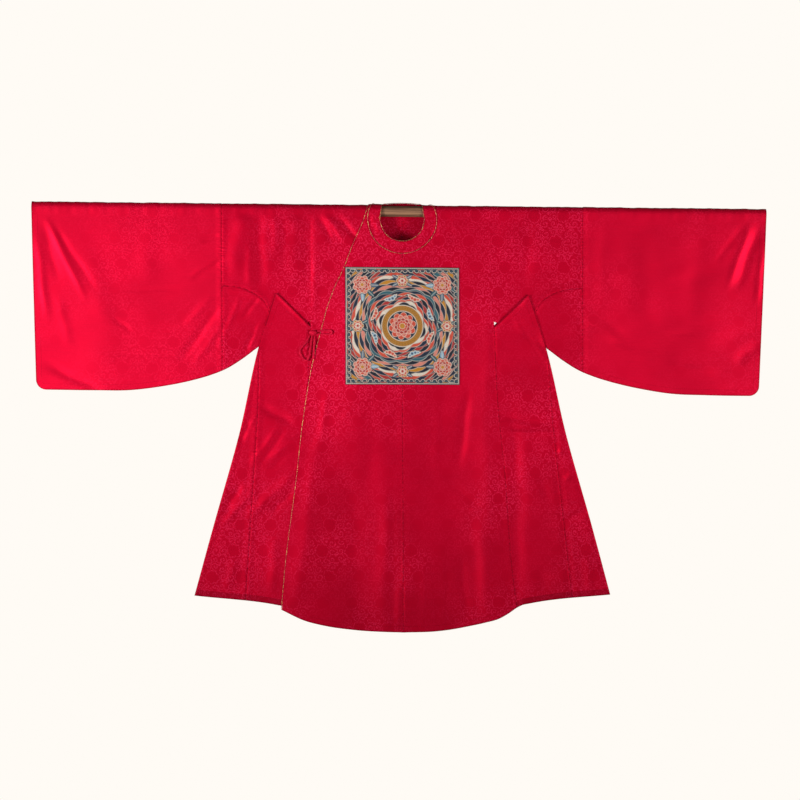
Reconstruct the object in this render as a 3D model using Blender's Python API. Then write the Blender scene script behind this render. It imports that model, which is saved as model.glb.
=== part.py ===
"""Round-collared silk robe with side wings, hung on a wooden rod pushed through both sleeves.

Metres, +Z up. The rod's axis is the X axis, +X is the wearer's left and -Y is the front.
The origin is on the rod's axis at the middle of the neck.

Every cloth piece is a wall drawn in two flat coordinates: x, and s, the length along the cloth
from the top of the rod, positive down the front and negative down the back. place() lays such a
point over the rod and lets it hang. A lift moves it outward, so that one piece lies on another.
"""

import math

import bpy
import numpy as np

# Rod
ROD_RADIUS = 0.017
ROD_SIDES = 16
ROD_INSET = 0.006  # the rod ends this far inside each cuff
CUFF_X = {"right": 1.147, "left": 1.128}

# Cloth walls and layers
WALL = 0.0015
SEAM_GAP = 0.0003
LAYER = 0.0025  # from one layer's outer face to that of the layer laid on it
CLOTH_RADIUS = ROD_RADIUS + SEAM_GAP + WALL
ROD_ARC = CLOTH_RADIUS * math.pi / 2  # cloth length from the rod's top to its side
CLOSED_DEPTH = WALL + SEAM_GAP / 2  # outer face from the middle plane at a closed seam
NEAR_ROD = 0.10  # drop over which the folds die out towards the rod
CLOSING_CURVE = 1.6  # front and back close slowly under the rod, then faster: exponent over the drop
WING_CURVE = 1.3  # the same over a wing's width
CHEST_OPEN = 0.10  # half-width of the chest that stays as far apart as the rod holds it

# The body hangs plumb while the rod dips to the wearer's left
LEAN = 0.0138
RISE = 0.017
HEM_DROP = 1.3035
GRIP_SPAN = (0.45, 1.10)  # half-widths between which the rod's hold on the cloth sets in
GRIP_SHARE = 0.8  # share of the lean that it takes away at the cuffs

# Neckline: a circle in front, flatter behind
NECK_RADIUS = 0.107
NECK_CENTRE = ROD_ARC + 0.024
NECK_BACK = 0.038  # how far down the back the neckline reaches from the rod's top
NECK_ANGLES = (0, 15, 32, 50, 70, 90)  # degrees from the front's lowest point
COLLAR_INNER = 0.070
COLLAR_CLEAR = 0.0008  # extra room between the collar band and the rod
COLLAR_BACK_GAP = 0.0016  # seam gap, along x, where the band stands up from the back neck
COLLAR_BACK_RISE = 0.0008  # and along the cloth at its lowest stretch
NECK_BACK_ROWS = (-0.034, -0.037, -NECK_BACK)  # cloth lengths of the rows at the back neck

# Body
ARMPIT_X = 0.284
ARMPIT_DROP = 0.340
WING_TOP = (0.392, 0.253)  # free top corner of each side wing: x, drop
WING_BOTTOM_DROP = 0.364  # where the wing's sewn edge starts
SLEEVE_SEAM_X = 0.558
LOWER_SLACK = 0.5  # how far front and back part again along the side seam by the hem
LOWER_LENGTH = 0.9  # length of side seam over which they do
SKIRT_OPEN = 0.35  # share of the half-width that stays open below the armpits

# Sleeve
CUFF_SLANT = 0.018
CUFF_CORNER = 0.030

# Badge
BADGE_HALF = 0.1765
BADGE_DROPS = (0.174, 0.537)
BADGE_WALL = 0.0012

# Where a layer's lift eases off: half-widths from the middle, drops under the neck's foot and
# along the wing's free top, distances from the wing's seam
MIDDLE_EASE = (0.0, 0.06)
NECK_EASE = (0.0, 0.13)
SIDE_EASE = (0.20, 0.32)
WING_EASE = (0.425, 0.490)
SEAM_EASE = (0.001, 0.013)

# Piping and ribbon
PIPING_RADIUS = 0.0011
PIPING_SIDES = 6
PIPING_PAST = 4  # collar rows over which the pipings run on along the inner front
RIBBON_WALL = 0.0012
RIBBON_LIFT = 0.0045
KNOT_CENTRE = (-0.277, 0.377)  # x, drop
KNOT_HALF = (0.012, 0.0045, 0.008)
KNOT_LIFT = 0.0052
KNOT_RINGS = 7
KNOT_SIDES = 10

# Columns: x and drop of the ribbon's centreline from the knot's centre, width
TIE_STRAP = (
    (0.0135, -0.0035, 0.0040),
    (0.0290, -0.0070, 0.0065),
    (0.0470, -0.0080, 0.0075),
    (0.0580, -0.0055, 0.0075),
    (0.0605, 0.0005, 0.0070),
    (0.0570, 0.0060, 0.0075),
    (0.0460, 0.0080, 0.0075),
    (0.0290, 0.0065, 0.0065),
    (0.0135, 0.0035, 0.0040),
)
TIE_LOOP = (
    (-0.0095, 0.0085, 0.0040),
    (-0.0240, 0.0310, 0.0075),
    (-0.0400, 0.0500, 0.0085),
    (-0.0460, 0.0630, 0.0085),
    (-0.0420, 0.0790, 0.0085),
    (-0.0305, 0.0895, 0.0085),
    (-0.0190, 0.0870, 0.0085),
    (-0.0130, 0.0710, 0.0085),
    (-0.0095, 0.0480, 0.0070),
    (-0.0030, 0.0095, 0.0040),
)
TIE_TAIL = (
    (0.0045, 0.0093, 0.0040),
    (0.0045, 0.0280, 0.0070),
    (0.0035, 0.0530, 0.0080),
    (0.0020, 0.0820, 0.0080),
)

# Drop, half-width of the body at the side seam
SIDE_SEAM = ((0.340, 0.284), (0.597, 0.295), (0.829, 0.318), (1.077, 0.334), (1.230, 0.351))

# Half-width, drop of the sleeve's sewn bottom edge
SLEEVE_BOTTOM = (
    (0.284, 0.340),
    (0.445, 0.421),
    (0.496, 0.459),
    (0.546, 0.490),
    (0.595, 0.510),
    (0.645, 0.525),
    (0.747, 0.547),
    (0.845, 0.560),
    (0.940, 0.562),
    (1.150, 0.562),
)

# Drop, half-width of the wing's outer edge
WING_EDGE = ((0.253, 0.392), (0.421, 0.445), (0.684, 0.504), (0.981, 0.578), (1.190, 0.6355))

# Drop, half-width of the seam between side panel and side gore
GORE_SEAM = {
    "right": ((0.421, 0.4450), (0.527, 0.4455), (0.850, 0.4640), (1.205, 0.4880)),
    "left": ((0.434, 0.4489), (0.657, 0.4650), (0.920, 0.4930), (1.200, 0.5230)),
}

# Half-width, drop of the body's hem, then of the wing's
HEM = (
    (0.000, 1.3035),
    (0.100, 1.3005),
    (0.154, 1.2940),
    (0.200, 1.2860),
    (0.250, 1.2760),
    (0.300, 1.2620),
    (0.328, 1.2460),
    (0.351, 1.2300),
    (0.368, 1.2215),
    (0.390, 1.2170),
    (0.6355, 1.1900),
)
BODY_CORNER_X = 0.351  # half-width of the body at the hem
OVERLAP_HEM = ((0.000, 1.3035), (0.154, 1.2950), (0.254, 1.2790), (0.303, 1.2660), (0.377, 1.2315))
OVERLAP_CORNER_X = 0.377  # half-width of the overlap at its hem
INNER_HEM_SHORTER = 0.006

# Cloth length from the rod's top, half-width of the overlap's slanting free edge
OVERLAP_EDGE = (
    (0.000, 0.1000),
    (ROD_ARC, 0.1090),
    (ROD_ARC + 0.024, 0.1163),
    (ROD_ARC + 0.102, 0.1503),
    (ROD_ARC + 0.195, 0.1874),
    (ROD_ARC + 0.228, 0.2039),
    (ROD_ARC + 0.295, 0.2297),
    (ROD_ARC + 0.366, 0.2496),
    (ROD_ARC + 0.457, 0.2737),
    (ROD_ARC + 0.643, 0.3070),
    (ROD_ARC + 0.845, 0.3306),
    (ROD_ARC + 1.076, 0.3615),
    (ROD_ARC + 1.240, 0.3770),
)

# Half-width, drop along the underarm curve between body panel and gusset
GUSSET_CURVE = (
    (0.394, 0.3953),
    (0.402, 0.3400),
    (0.420, 0.2930),
    (0.435, 0.2740),
    (0.467, 0.2530),
    (0.505, 0.2400),
    (SLEEVE_SEAM_X, 0.2340),
)

# Degrees round the rod from its top (front positive), then x, y, z of the collar's free edge
COLLAR_STAND = (
    (0.0, 0.063, 0.0000, 0.0173),
    (-22.5, 0.060, 0.0080, 0.0205),
    (-45.0, 0.055, 0.0145, 0.0220),
    (-67.5, 0.046, 0.0185, 0.0235),
    (-90.0, 0.033, 0.0200, 0.0250),
)
# Cloth length behind the rod's top, then x, y, z of the collar's free edge at the back neck
COLLAR_BACK = (
    (-0.0340, 0.021, 0.0205, 0.0256),
    (-0.0370, 0.010, 0.0207, 0.0259),
    (-NECK_BACK, 0.000, 0.0208, 0.0260),
)
# Degrees round the rod, then x and cloth length of the collar's free edge in front of the rod's top
COLLAR_OVER_ROD = ((22.5, 0.0645, 0.011), (45.0, 0.0655, 0.021), (67.5, 0.0665, 0.030))

# Largest folds. Columns: x and drop of the top, x and drop of the foot, half-width, height
FRONT_FOLDS = (
    (-0.230, 0.62, -0.195, 1.36, 0.070, 0.0050),
    (-0.085, 0.66, -0.070, 1.36, 0.055, -0.0030),
    (0.070, 0.62, 0.060, 1.36, 0.060, -0.0032),
    (0.185, 0.70, 0.190, 1.36, 0.065, 0.0040),
    (-0.440, 0.03, -0.455, 0.30, 0.055, 0.0030),
    (-0.330, 0.04, -0.300, 0.26, 0.050, -0.0028),
    (0.330, 0.06, 0.380, 0.30, 0.060, 0.0026),
    (-1.060, 0.03, -0.900, 0.50, 0.070, 0.0035),
    (-0.760, 0.08, -0.700, 0.46, 0.075, -0.0030),
    (1.040, 0.04, 0.930, 0.50, 0.070, 0.0035),
    (0.740, 0.10, 0.700, 0.46, 0.080, -0.0028),
)
BACK_FOLDS = (
    (-0.210, 0.30, -0.240, 1.36, 0.075, 0.0045),
    (-0.060, 0.35, -0.070, 1.36, 0.060, -0.0032),
    (0.110, 0.30, 0.120, 1.36, 0.070, 0.0042),
    (0.260, 0.50, 0.270, 1.36, 0.060, -0.0026),
    (-0.960, 0.05, -0.860, 0.50, 0.080, 0.0032),
    (0.420, 0.05, 0.440, 0.30, 0.060, 0.0028),
    (0.900, 0.06, 0.820, 0.50, 0.080, 0.0034),
)

# Drops of the grid rows
CHEST_DROPS = (0.185, 0.234, 0.290, ARMPIT_DROP)
LOWER_SHARES = (0.0, 0.045, 0.11, 0.19, 0.28, 0.37, 0.46, 0.55, 0.64, 0.73, 0.82, 0.91, 0.965, 1.0)
WING_DROPS = (0.2565, 0.290, 0.330, WING_BOTTOM_DROP)
WING_NECK_DROP = 0.395  # the wing's outer edge, level with its first row sewn to the body
GORE_ROW = 2  # the row of LOWER_SHARES at which the side gore starts
POINT_SHARE = 0.4  # a piece that ends in a point starts this far from it to the next row
NECK_ROD_SHARES = (1.0, 0.75, 0.5, 0.25)  # collar rows over the front quarter of the rod
SLEEVE_SHARES = (0.06, 0.16, 0.28, 0.40, 0.52, 0.64, 0.76, 0.87, 0.95, 0.975, 0.99, 1.0)

SIDES = {"right": -1.0, "left": 1.0}
SURFACES = {"front": 1.0, "back": -1.0}

# Columns: material, colour, roughness, metallic
RED_SILK = ("red_silk_damask", (0.47, 0.0, 0.025), 0.42, 0.0)
BRIGHT_SILK = ("red_silk_sleeve", (0.58, 0.004, 0.035), 0.40, 0.0)
GOLD_CORD = ("gold_piping", (0.56, 0.26, 0.13), 0.45, 0.3)
BADGE_SILK = ("badge_embroidery", (0.10, 0.11, 0.20), 0.60, 0.0)
RIBBON_SILK = ("dark_red_ribbon", (0.30, 0.0, 0.015), 0.45, 0.0)
ROD_WOOD = ("rod_wood", (0.32, 0.17, 0.09), 0.55, 0.0)


def smooth(low, high, value):
    """Zero below low, one above high, with a soft step between."""
    t = np.clip((value - low) / (high - low), 0.0, 1.0)
    return t * t * (3.0 - 2.0 * t)


def read(table, value):
    """Second column of a two-column table at a value of its first."""
    columns = np.array(table)
    return np.interp(value, columns[:, 0], columns[:, 1])


def closedness(x, drop):
    """How nearly front and back meet: 0 as far apart as the rod holds them, 1 at a closed seam."""
    half = np.abs(x)
    seam = read(SIDE_SEAM, drop)
    edge = np.maximum(read(WING_EDGE, drop), seam + 0.01)
    bottom = read(SLEEVE_BOTTOM, half)
    at_seam = 1.0 - LOWER_SLACK * np.clip((drop - ARMPIT_DROP) / LOWER_LENGTH, 0.0, 1.0)
    shoulder = np.clip(drop / bottom, 0.0, 1.0) ** CLOSING_CURVE
    chest = np.clip(drop / ARMPIT_DROP, 0.0, 1.0) ** CLOSING_CURVE
    chest = chest * smooth(CHEST_OPEN, ARMPIT_X, half)
    skirt = at_seam * smooth(SKIRT_OPEN, 1.0, half / seam)
    out = np.clip((half - seam) / (edge - seam), 0.0, 1.0)
    wing = at_seam + (1.0 - at_seam) * (1.0 - (1.0 - out) ** WING_CURVE)
    upper = np.where(half < ARMPIT_X, chest, shoulder)
    lower = np.where(half < seam, skirt, wing)
    above = (drop <= ARMPIT_DROP) | ((half > ARMPIT_X) & (drop <= bottom))
    return np.where(above, upper, lower)


def folds(table, x, drop):
    """Height of the soft folds: each is a round ridge or trough about a straight line."""
    height = np.zeros_like(x)
    for top_x, top, foot_x, foot, half_width, size in table:
        share = (drop - top) / (foot - top)
        middle = top_x + (foot_x - top_x) * np.clip(share, 0.0, 1.0)
        along = smooth(-0.15, 0.35, share) * (1.0 - smooth(1.0, 1.25, share))
        height += size * along * np.exp(-(((x - middle) / half_width) ** 2))
    return height


def place(x, s, lift):
    """Where the cloth's point at x, s lies, with its outer face lifted from the base layer's."""
    x, s, lift = np.broadcast_arrays(*(np.asarray(v, float) for v in (x, s, lift)))
    drop = np.maximum(np.abs(s) - ROD_ARC, 0.0)
    angle = np.clip(s / CLOTH_RADIUS, -math.pi / 2, math.pi / 2)
    closed = closedness(x, drop)
    ripple = np.where(s > 0, folds(FRONT_FOLDS, x, drop), folds(BACK_FOLDS, x, drop))
    ripple = ripple * (1.0 - closed) * smooth(0.01, NEAR_ROD, drop)
    depth = CLOTH_RADIUS * (1.0 - closed) + CLOSED_DEPTH * closed + ripple + lift
    round_rod = CLOTH_RADIUS + lift
    y = np.where(drop > 0, -np.sign(s) * depth, -round_rod * np.sin(angle))
    z = np.where(drop > 0, -drop, round_rod * np.cos(angle))
    return hang(np.stack([x, y, z], axis=-1))


def hang(points):
    """Let the cloth below the rod swing to plumb: it moves to +X and turns a little."""
    x, y, z = points[..., 0], points[..., 1], points[..., 2]
    drop = np.maximum(-z, 0.0)
    grip = 1.0 - GRIP_SHARE * smooth(*GRIP_SPAN, np.abs(x))
    return np.stack([x + LEAN * drop * grip, y, z + RISE * grip * x * drop / HEM_DROP], axis=-1)


def outer_lift(x, drop):
    """Lift of the outer front: a layer up over the inner front, easing down to the left side."""
    past_middle = smooth(*MIDDLE_EASE, x)
    above_neck_foot = 1.0 - smooth(*NECK_EASE, drop)
    return LAYER * (1.0 - past_middle * above_neck_foot) * (1.0 - smooth(*SIDE_EASE, x))


def drop_of(s):
    return np.maximum(np.abs(s) - ROD_ARC, 0.0)


def material(settings):
    name, colour, roughness, metallic = settings
    made = bpy.data.materials.get(name) or bpy.data.materials.new(name)
    made.use_nodes = True
    shader = made.node_tree.nodes["Principled BSDF"]
    shader.inputs["Base Color"].default_value = (*colour, 1.0)
    shader.inputs["Roughness"].default_value = roughness
    shader.inputs["Metallic"].default_value = metallic
    return made


def add_object(name, points, faces, settings):
    """One closed body from points and faces, turned so that its faces point out."""
    points = np.asarray(points, float)
    volume = 0.0
    for face in faces:
        for second, third in zip(face[1:-1], face[2:]):
            volume += np.dot(points[face[0]], np.cross(points[second], points[third]))
    if volume < 0:
        faces = [face[::-1] for face in faces]
    mesh = bpy.data.meshes.new(name)
    mesh.from_pydata([tuple(p) for p in points], [], faces)
    mesh.update()
    mesh.materials.append(material(settings))
    made = bpy.data.objects.new(name, mesh)
    bpy.context.scene.collection.objects.link(made)
    return made


def sheet_triangles(patches):
    """Points and triangles of grids in the flat coordinates, joined where their points meet."""
    index, points, triangles = {}, [], []
    for patch in patches:
        rows, columns = patch.shape[:2]
        keys = np.empty((rows, columns), int)
        for i in range(rows):
            for j in range(columns):
                key = tuple(np.round(patch[i, j], 6))
                if key not in index:
                    index[key] = len(points)
                    points.append(patch[i, j])
                keys[i, j] = index[key]
        for i in range(rows - 1):
            for j in range(columns - 1):
                a, b, c, d = keys[i, j], keys[i + 1, j], keys[i + 1, j + 1], keys[i, j + 1]
                triangles += [t for t in ((a, b, c), (a, c, d)) if len(set(t)) == 3]
    return np.array(points), triangles


def close_wall(outer, inner, triangles):
    """Points and faces of a wall: outer face, inner face and the rim round its free edges."""
    n = len(outer)
    faces = [tuple(t) for t in triangles] + [(c + n, b + n, a + n) for a, b, c in triangles]
    edges = {(t[i], t[(i + 1) % 3]) for t in triangles for i in range(3)}
    for a, b in sorted(edges):
        if (b, a) not in edges:
            faces += [(b, a, a + n), (b, a + n, b + n)]
    return np.concatenate([outer, inner]), faces


def cloth(name, patches, lift, settings, wall=WALL):
    """A cloth wall over grids of flat points; lift gives its outer face's lift at x, s."""
    flat, triangles = sheet_triangles(patches)
    x, s = flat[:, 0], flat[:, 1]
    outer = lift(x, s)
    points, faces = close_wall(place(x, s, outer), place(x, s, outer - wall), triangles)
    return add_object(name, points, faces, settings)


def grid(rows):
    """A patch from rows, each a pair of arrays or numbers: x, s."""
    width = max(np.size(x) for x, s in rows)
    return np.array([np.stack(np.broadcast_arrays(np.zeros(width) + x, s), -1) for x, s in rows])


def neck_half(s, radius):
    """Half-width of the neck opening of this radius at cloth length s, zero past its ends."""
    back = radius * (NECK_CENTRE + NECK_BACK) / NECK_RADIUS
    reach = np.where(s > NECK_CENTRE, radius, back)
    inside = 1.0 - ((s - NECK_CENTRE) / reach) ** 2
    return radius * np.sqrt(np.maximum(inside, 0.0))


def neck_rows():
    """Cloth lengths of the rows at the front of the neck, from its foot up."""
    return [NECK_CENTRE + NECK_RADIUS * math.cos(math.radians(a)) for a in NECK_ANGLES]


def rod_rows():
    """Cloth lengths of the rows over the rod, from front to back, one at each of its corners."""
    return [ROD_ARC * share for share in np.linspace(1.0, -1.0, ROD_SIDES // 2 + 1)]


def build_rod():
    ends = (-CUFF_X["right"] + ROD_INSET, CUFF_X["left"] - ROD_INSET)
    turns = np.arange(ROD_SIDES) * 2 * math.pi / ROD_SIDES
    ring = np.stack([ROD_RADIUS * np.sin(turns), ROD_RADIUS * np.cos(turns)], axis=-1)
    points = [(x, y, z) for x in ends for y, z in ring]
    faces = [tuple(range(ROD_SIDES)), tuple(range(2 * ROD_SIDES - 1, ROD_SIDES - 1, -1))]
    for i in range(ROD_SIDES):
        j = (i + 1) % ROD_SIDES
        faces.append((j, i, i + ROD_SIDES, j + ROD_SIDES))
    add_object("rod", points, faces, ROD_WOOD)


def middle_or_neck(s):
    """Where a body panel's row starts: at the middle seam or the neckline."""
    return float(neck_half(s, NECK_RADIUS)) + SEAM_GAP / 2


def chest_row(s, columns):
    """A row of a body panel between the middle or the neckline and the armpit's line."""
    start = middle_or_neck(s)
    return start + (ARMPIT_X - start) * columns, s


def lower_rows(side, surface, columns):
    """Rows of a body panel from the hem up to the armpit, bending from straight to the hem's line."""
    shorter = INNER_HEM_SHORTER if surface > 0 and side == "right" else 0.0
    rows = []
    for share in LOWER_SHARES[:0:-1]:
        seam_drop = ARMPIT_DROP + (read(HEM, BODY_CORNER_X) - ARMPIT_DROP) * share
        side_x = read(SIDE_SEAM, seam_drop) - SEAM_GAP / 2
        x = SEAM_GAP / 2 + (side_x - SEAM_GAP / 2) * columns
        hem = read(HEM, x) - shorter * (1.0 - columns)
        rows.append((x, surface * (ROD_ARC + ARMPIT_DROP + (hem - ARMPIT_DROP) * share)))
    return rows


def body_patches(side):
    """Grids of one body panel: middle and shoulder, in front, over the rod and behind."""
    columns = np.linspace(0.0, 1.0, 8)
    edge_x = [x - (SEAM_GAP / 2 if x == SLEEVE_SEAM_X else 0.0) for x, d in GUSSET_CURVE]
    shoulder_x = np.array([ARMPIT_X, 0.320, 0.357] + edge_x)
    foot = np.concatenate([read(SLEEVE_BOTTOM, shoulder_x[:3]), [d for x, d in GUSSET_CURVE]])
    patches = []
    for surface in SURFACES.values():
        neck = neck_rows() if surface > 0 else list(NECK_BACK_ROWS[::-1])
        upper = [surface * (ROD_ARC + d) for d in reversed(CHEST_DROPS)] + neck
        over = rod_rows() if surface > 0 else [-ROD_ARC]
        middle = lower_rows(side, surface, columns) + [chest_row(s, columns) for s in upper + over]
        shoulder = []
        for s in upper:
            share = float(drop_of(s)) / ARMPIT_DROP
            shoulder.append((shoulder_x, surface * (ROD_ARC + foot * share)))
        shoulder += [(shoulder_x, s) for s in over]
        patches += [grid(middle)[:: int(surface)], grid(shoulder)[:: int(surface)]]
    return [patch * (SIDES[side], 1.0) for patch in patches]


def build_body(side):
    def lift(x, s):
        raised = outer_lift(x, drop_of(s)) if side == "left" else 0.0
        return np.where(s > ROD_ARC, raised, 0.0)

    cloth(f"{side}_body_panel", body_patches(side), lift, RED_SILK)


def overlap_rows():
    """Cloth length at the overlap's slanting edge, its half-width there, and the share of the hem."""
    levels = [0.0, *[ROD_ARC * share for share in (0.25, 0.5, 0.75, 1.0)], *neck_rows()[::-1]]
    levels += [ROD_ARC + d for d in CHEST_DROPS]
    rows = [(s, read(OVERLAP_EDGE, s), None) for s in levels]
    for share in LOWER_SHARES[1:]:
        drop = ARMPIT_DROP + (read(OVERLAP_HEM, OVERLAP_CORNER_X) - ARMPIT_DROP) * share
        edge = read(OVERLAP_EDGE, ROD_ARC + drop)
        s = ROD_ARC + ARMPIT_DROP + (read(OVERLAP_HEM, edge) - ARMPIT_DROP) * share
        rows.append((s, edge, share))
    return rows


def build_overlap():
    """The outer front on the wearer's right, from the collar's seam down to the hem."""
    columns = np.linspace(0.0, 1.0, 8)
    rows = []
    for s, edge, share in overlap_rows():
        start = middle_or_neck(s)
        x = start + (edge - start) * columns
        if share is not None:
            s = ROD_ARC + ARMPIT_DROP + (read(OVERLAP_HEM, x) - ARMPIT_DROP) * share
        rows.append((x, s))
    patch = grid(rows) * (-1.0, 1.0)
    cloth("front_overlap", [patch], lambda x, s: np.full_like(x, LAYER), RED_SILK)


def build_sleeve(side):
    """One folded length over the rod, sewn along the bottom, with a rounded corner at the cuff."""
    start = SLEEVE_SEAM_X + SEAM_GAP / 2
    columns = np.linspace(0.0, 1.0, 10)
    depth = SLEEVE_BOTTOM[-1][1]

    def row(share):
        rise = max(0.0, CUFF_CORNER - (1.0 - share) * depth)
        corner = CUFF_CORNER - math.sqrt(CUFF_CORNER**2 - rise**2)
        cuff = CUFF_X[side] - CUFF_SLANT * share - corner
        x = start + (cuff - start) * columns
        return x, read(SLEEVE_BOTTOM, x) * share

    hanging = [row(share) for share in SLEEVE_SHARES]
    top = row(0.0)[0]
    rows = [(x, ROD_ARC + drop) for x, drop in reversed(hanging)]
    rows += [(top, s) for s in rod_rows()]
    rows += [(x, -ROD_ARC - drop) for x, drop in hanging]
    patch = grid(rows) * (SIDES[side], 1.0)
    settings = BRIGHT_SILK if side == "right" else RED_SILK
    cloth(f"{side}_sleeve", [patch], lambda x, s: np.zeros_like(x), settings)


def build_gusset(side, surface):
    """The underarm piece between the body panel's curve, the sleeve seam and the bottom edge."""
    curve = np.array(GUSSET_CURVE)
    curve[0] = curve[0] + POINT_SHARE * (curve[1] - curve[0])
    tangent = np.gradient(curve, axis=0)
    normal = np.stack([-tangent[:, 1], tangent[:, 0]], axis=-1)
    top = curve + SEAM_GAP * normal / np.linalg.norm(normal, axis=1)[:, None]
    top[:, 0] = np.minimum(top[:, 0], SLEEVE_SEAM_X - SEAM_GAP / 2)
    bottom = read(SLEEVE_BOTTOM, top[:, 0])
    rows = []
    for share in np.linspace(0.0, 1.0, 5):
        drop = top[:, 1] + (bottom - top[:, 1]) * share
        rows.append((top[:, 0], SURFACES[surface] * (ROD_ARC + drop)))
    patch = grid(rows) * (SIDES[side], 1.0)
    cloth(f"{side}_{surface}_gusset", [patch], lambda x, s: np.zeros_like(x), RED_SILK)


def wing_lift(x, s):
    """The wing's free top lies over the body and the gusset; below it the wing is the base layer."""
    drop = drop_of(s)
    over_sleeve = 1.0 - smooth(*WING_EASE, drop)
    off_seam = smooth(*SEAM_EASE, np.abs(x) - read(SIDE_SEAM, drop))
    return LAYER * over_sleeve * off_seam


def wing_rows(side):
    """Drops of a wing's rows below its first sewn one: at the body's seam, and at the gore's seam."""
    body_hem = read(HEM, SIDE_SEAM[-1][1])
    start, seam_hem = GORE_SEAM[side][0][0], read(HEM, GORE_SEAM[side][-1][1])
    first = LOWER_SHARES[GORE_ROW]
    rows = []
    for share in LOWER_SHARES[GORE_ROW:]:
        at_body = ARMPIT_DROP + (body_hem - ARMPIT_DROP) * share
        gore_share = (share - first) / (1.0 - first)
        rows.append((at_body, start + (seam_hem - start) * gore_share, gore_share))
    return rows


def slanted_row(inner, outer, columns, at_hem):
    """A row of grid points between two points of x, drop, following the hem if it is the last."""
    x = inner[0] + (outer[0] - inner[0]) * columns
    drop = inner[1] + (outer[1] - inner[1]) * columns
    return x, ROD_ARC + (read(HEM, x) if at_hem else drop)


def build_side_panel(side, surface):
    """Inner part of a side wing: a free slanting top edge, then sewn to the body down to the hem."""
    columns = np.linspace(0.0, 1.0, 6)
    top_x, top_drop = WING_TOP
    seam_top = read(SIDE_SEAM, WING_BOTTOM_DROP) + SEAM_GAP / 2
    rows = []
    for drop in WING_DROPS:
        slit = (drop - top_drop) / (WING_BOTTOM_DROP - top_drop)
        inner = top_x + (seam_top - top_x) * slit
        rows.append(slanted_row((inner, drop), (read(WING_EDGE, drop), drop), columns, False))
    drop = ARMPIT_DROP + (read(HEM, SIDE_SEAM[-1][1]) - ARMPIT_DROP) * LOWER_SHARES[1]
    inner = (read(SIDE_SEAM, drop) + SEAM_GAP / 2, drop)
    rows.append(slanted_row(inner, (read(WING_EDGE, WING_NECK_DROP), WING_NECK_DROP), columns, False))
    for at_body, at_gore, gore_share in wing_rows(side):
        inner = (read(SIDE_SEAM, at_body) + SEAM_GAP / 2, at_body)
        outer = (read(GORE_SEAM[side], at_gore) - SEAM_GAP / 2, at_gore)
        rows.append(slanted_row(inner, outer, columns, gore_share == 1.0))
    patch = grid(rows) * (SIDES[side], SURFACES[surface])
    cloth(f"{side}_{surface}_side_panel", [patch], wing_lift, RED_SILK)


def build_side_gore(side, surface):
    """Outer part of a side wing, widening from a point to the hem's corner."""
    columns = np.linspace(0.0, 1.0, 4)
    seam = wing_rows(side)
    corner = WING_EDGE[-1][0]
    rows = []
    tip_drop = seam[0][1] + POINT_SHARE * (seam[1][1] - seam[0][1])
    tip = (tip_drop, POINT_SHARE * seam[1][2])
    for at_gore, gore_share in [tip, *(row[1:] for row in seam[1:])]:
        inner = (read(GORE_SEAM[side], at_gore) + SEAM_GAP / 2, at_gore)
        drop = seam[0][1] + (corner - seam[0][1]) * gore_share
        rows.append(slanted_row(inner, (read(WING_EDGE, drop), drop), columns, gore_share == 1.0))
    patch = grid(rows) * (SIDES[side], SURFACES[surface])
    cloth(f"{side}_{surface}_side_gore", [patch], wing_lift, RED_SILK)


def build_badge():
    x = np.linspace(-BADGE_HALF, BADGE_HALF, 9)
    rows = [(x, ROD_ARC + drop) for drop in np.linspace(*BADGE_DROPS, 9)]

    def lift(x, s):
        return outer_lift(x, drop_of(s)) + LAYER - WALL + BADGE_WALL

    cloth("badge", [grid(rows)], lift, BADGE_SILK, BADGE_WALL)


def unit(vectors):
    return vectors / np.linalg.norm(vectors, axis=-1, keepdims=True)


def collar_station(side, s, free, raised):
    """Rod-side points across the band, from its seam to its free edge, and how far it is raised."""
    sign = SIDES[side]
    seam_x = max(float(neck_half(s, NECK_RADIUS)) - (COLLAR_BACK_GAP if s < 0 else SEAM_GAP / 2), 0.0)
    rise = COLLAR_BACK_RISE if s < -ROD_ARC else 0.0
    seam = place(sign * seam_x, s + rise, COLLAR_CLEAR - WALL)
    if free is None:
        share = np.linspace(0.0, 1.0, 5)
        reach = (s - NECK_CENTRE) / NECK_RADIUS
        radius = NECK_RADIUS + (COLLAR_INNER - NECK_RADIUS) * share
        x, s = sign * radius * seam_x / NECK_RADIUS, NECK_CENTRE + radius * reach
        across = place(x, s, COLLAR_CLEAR - WALL)
        return across, raised
    edge = np.array([sign * free[0], free[1], free[2]])
    across = seam + (edge - seam) * np.linspace(0.0, 1.0, 5)[:, None]
    return keep_off_rod(across), raised


def keep_off_rod(points):
    """Push points that lie too near the rod's axis out to the cloth's inner radius."""
    radius = np.hypot(points[:, 1], points[:, 2])
    scale = np.maximum(1.0, (CLOTH_RADIUS - WALL + COLLAR_CLEAR) / np.maximum(radius, 1e-6))
    return np.stack([points[:, 0], points[:, 1] * scale, points[:, 2] * scale], axis=-1)


def collar_quarter(side, raised, end_angle):
    """Stations from the neck's foot up one side and over the rod to this angle round it."""
    stations = [collar_station(side, s, None, raised) for s in neck_rows()]
    free_edges = {angle: place(x, s, COLLAR_CLEAR - WALL) for angle, x, s in COLLAR_OVER_ROD}
    for share in NECK_ROD_SHARES:
        stations.append(collar_station(side, ROD_ARC * share, free_edges.get(90.0 * share), raised))
    for angle, *free in COLLAR_STAND:
        if angle >= end_angle:
            stations.append(collar_station(side, ROD_ARC * angle / 90.0, free, raised))
    return stations


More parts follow.
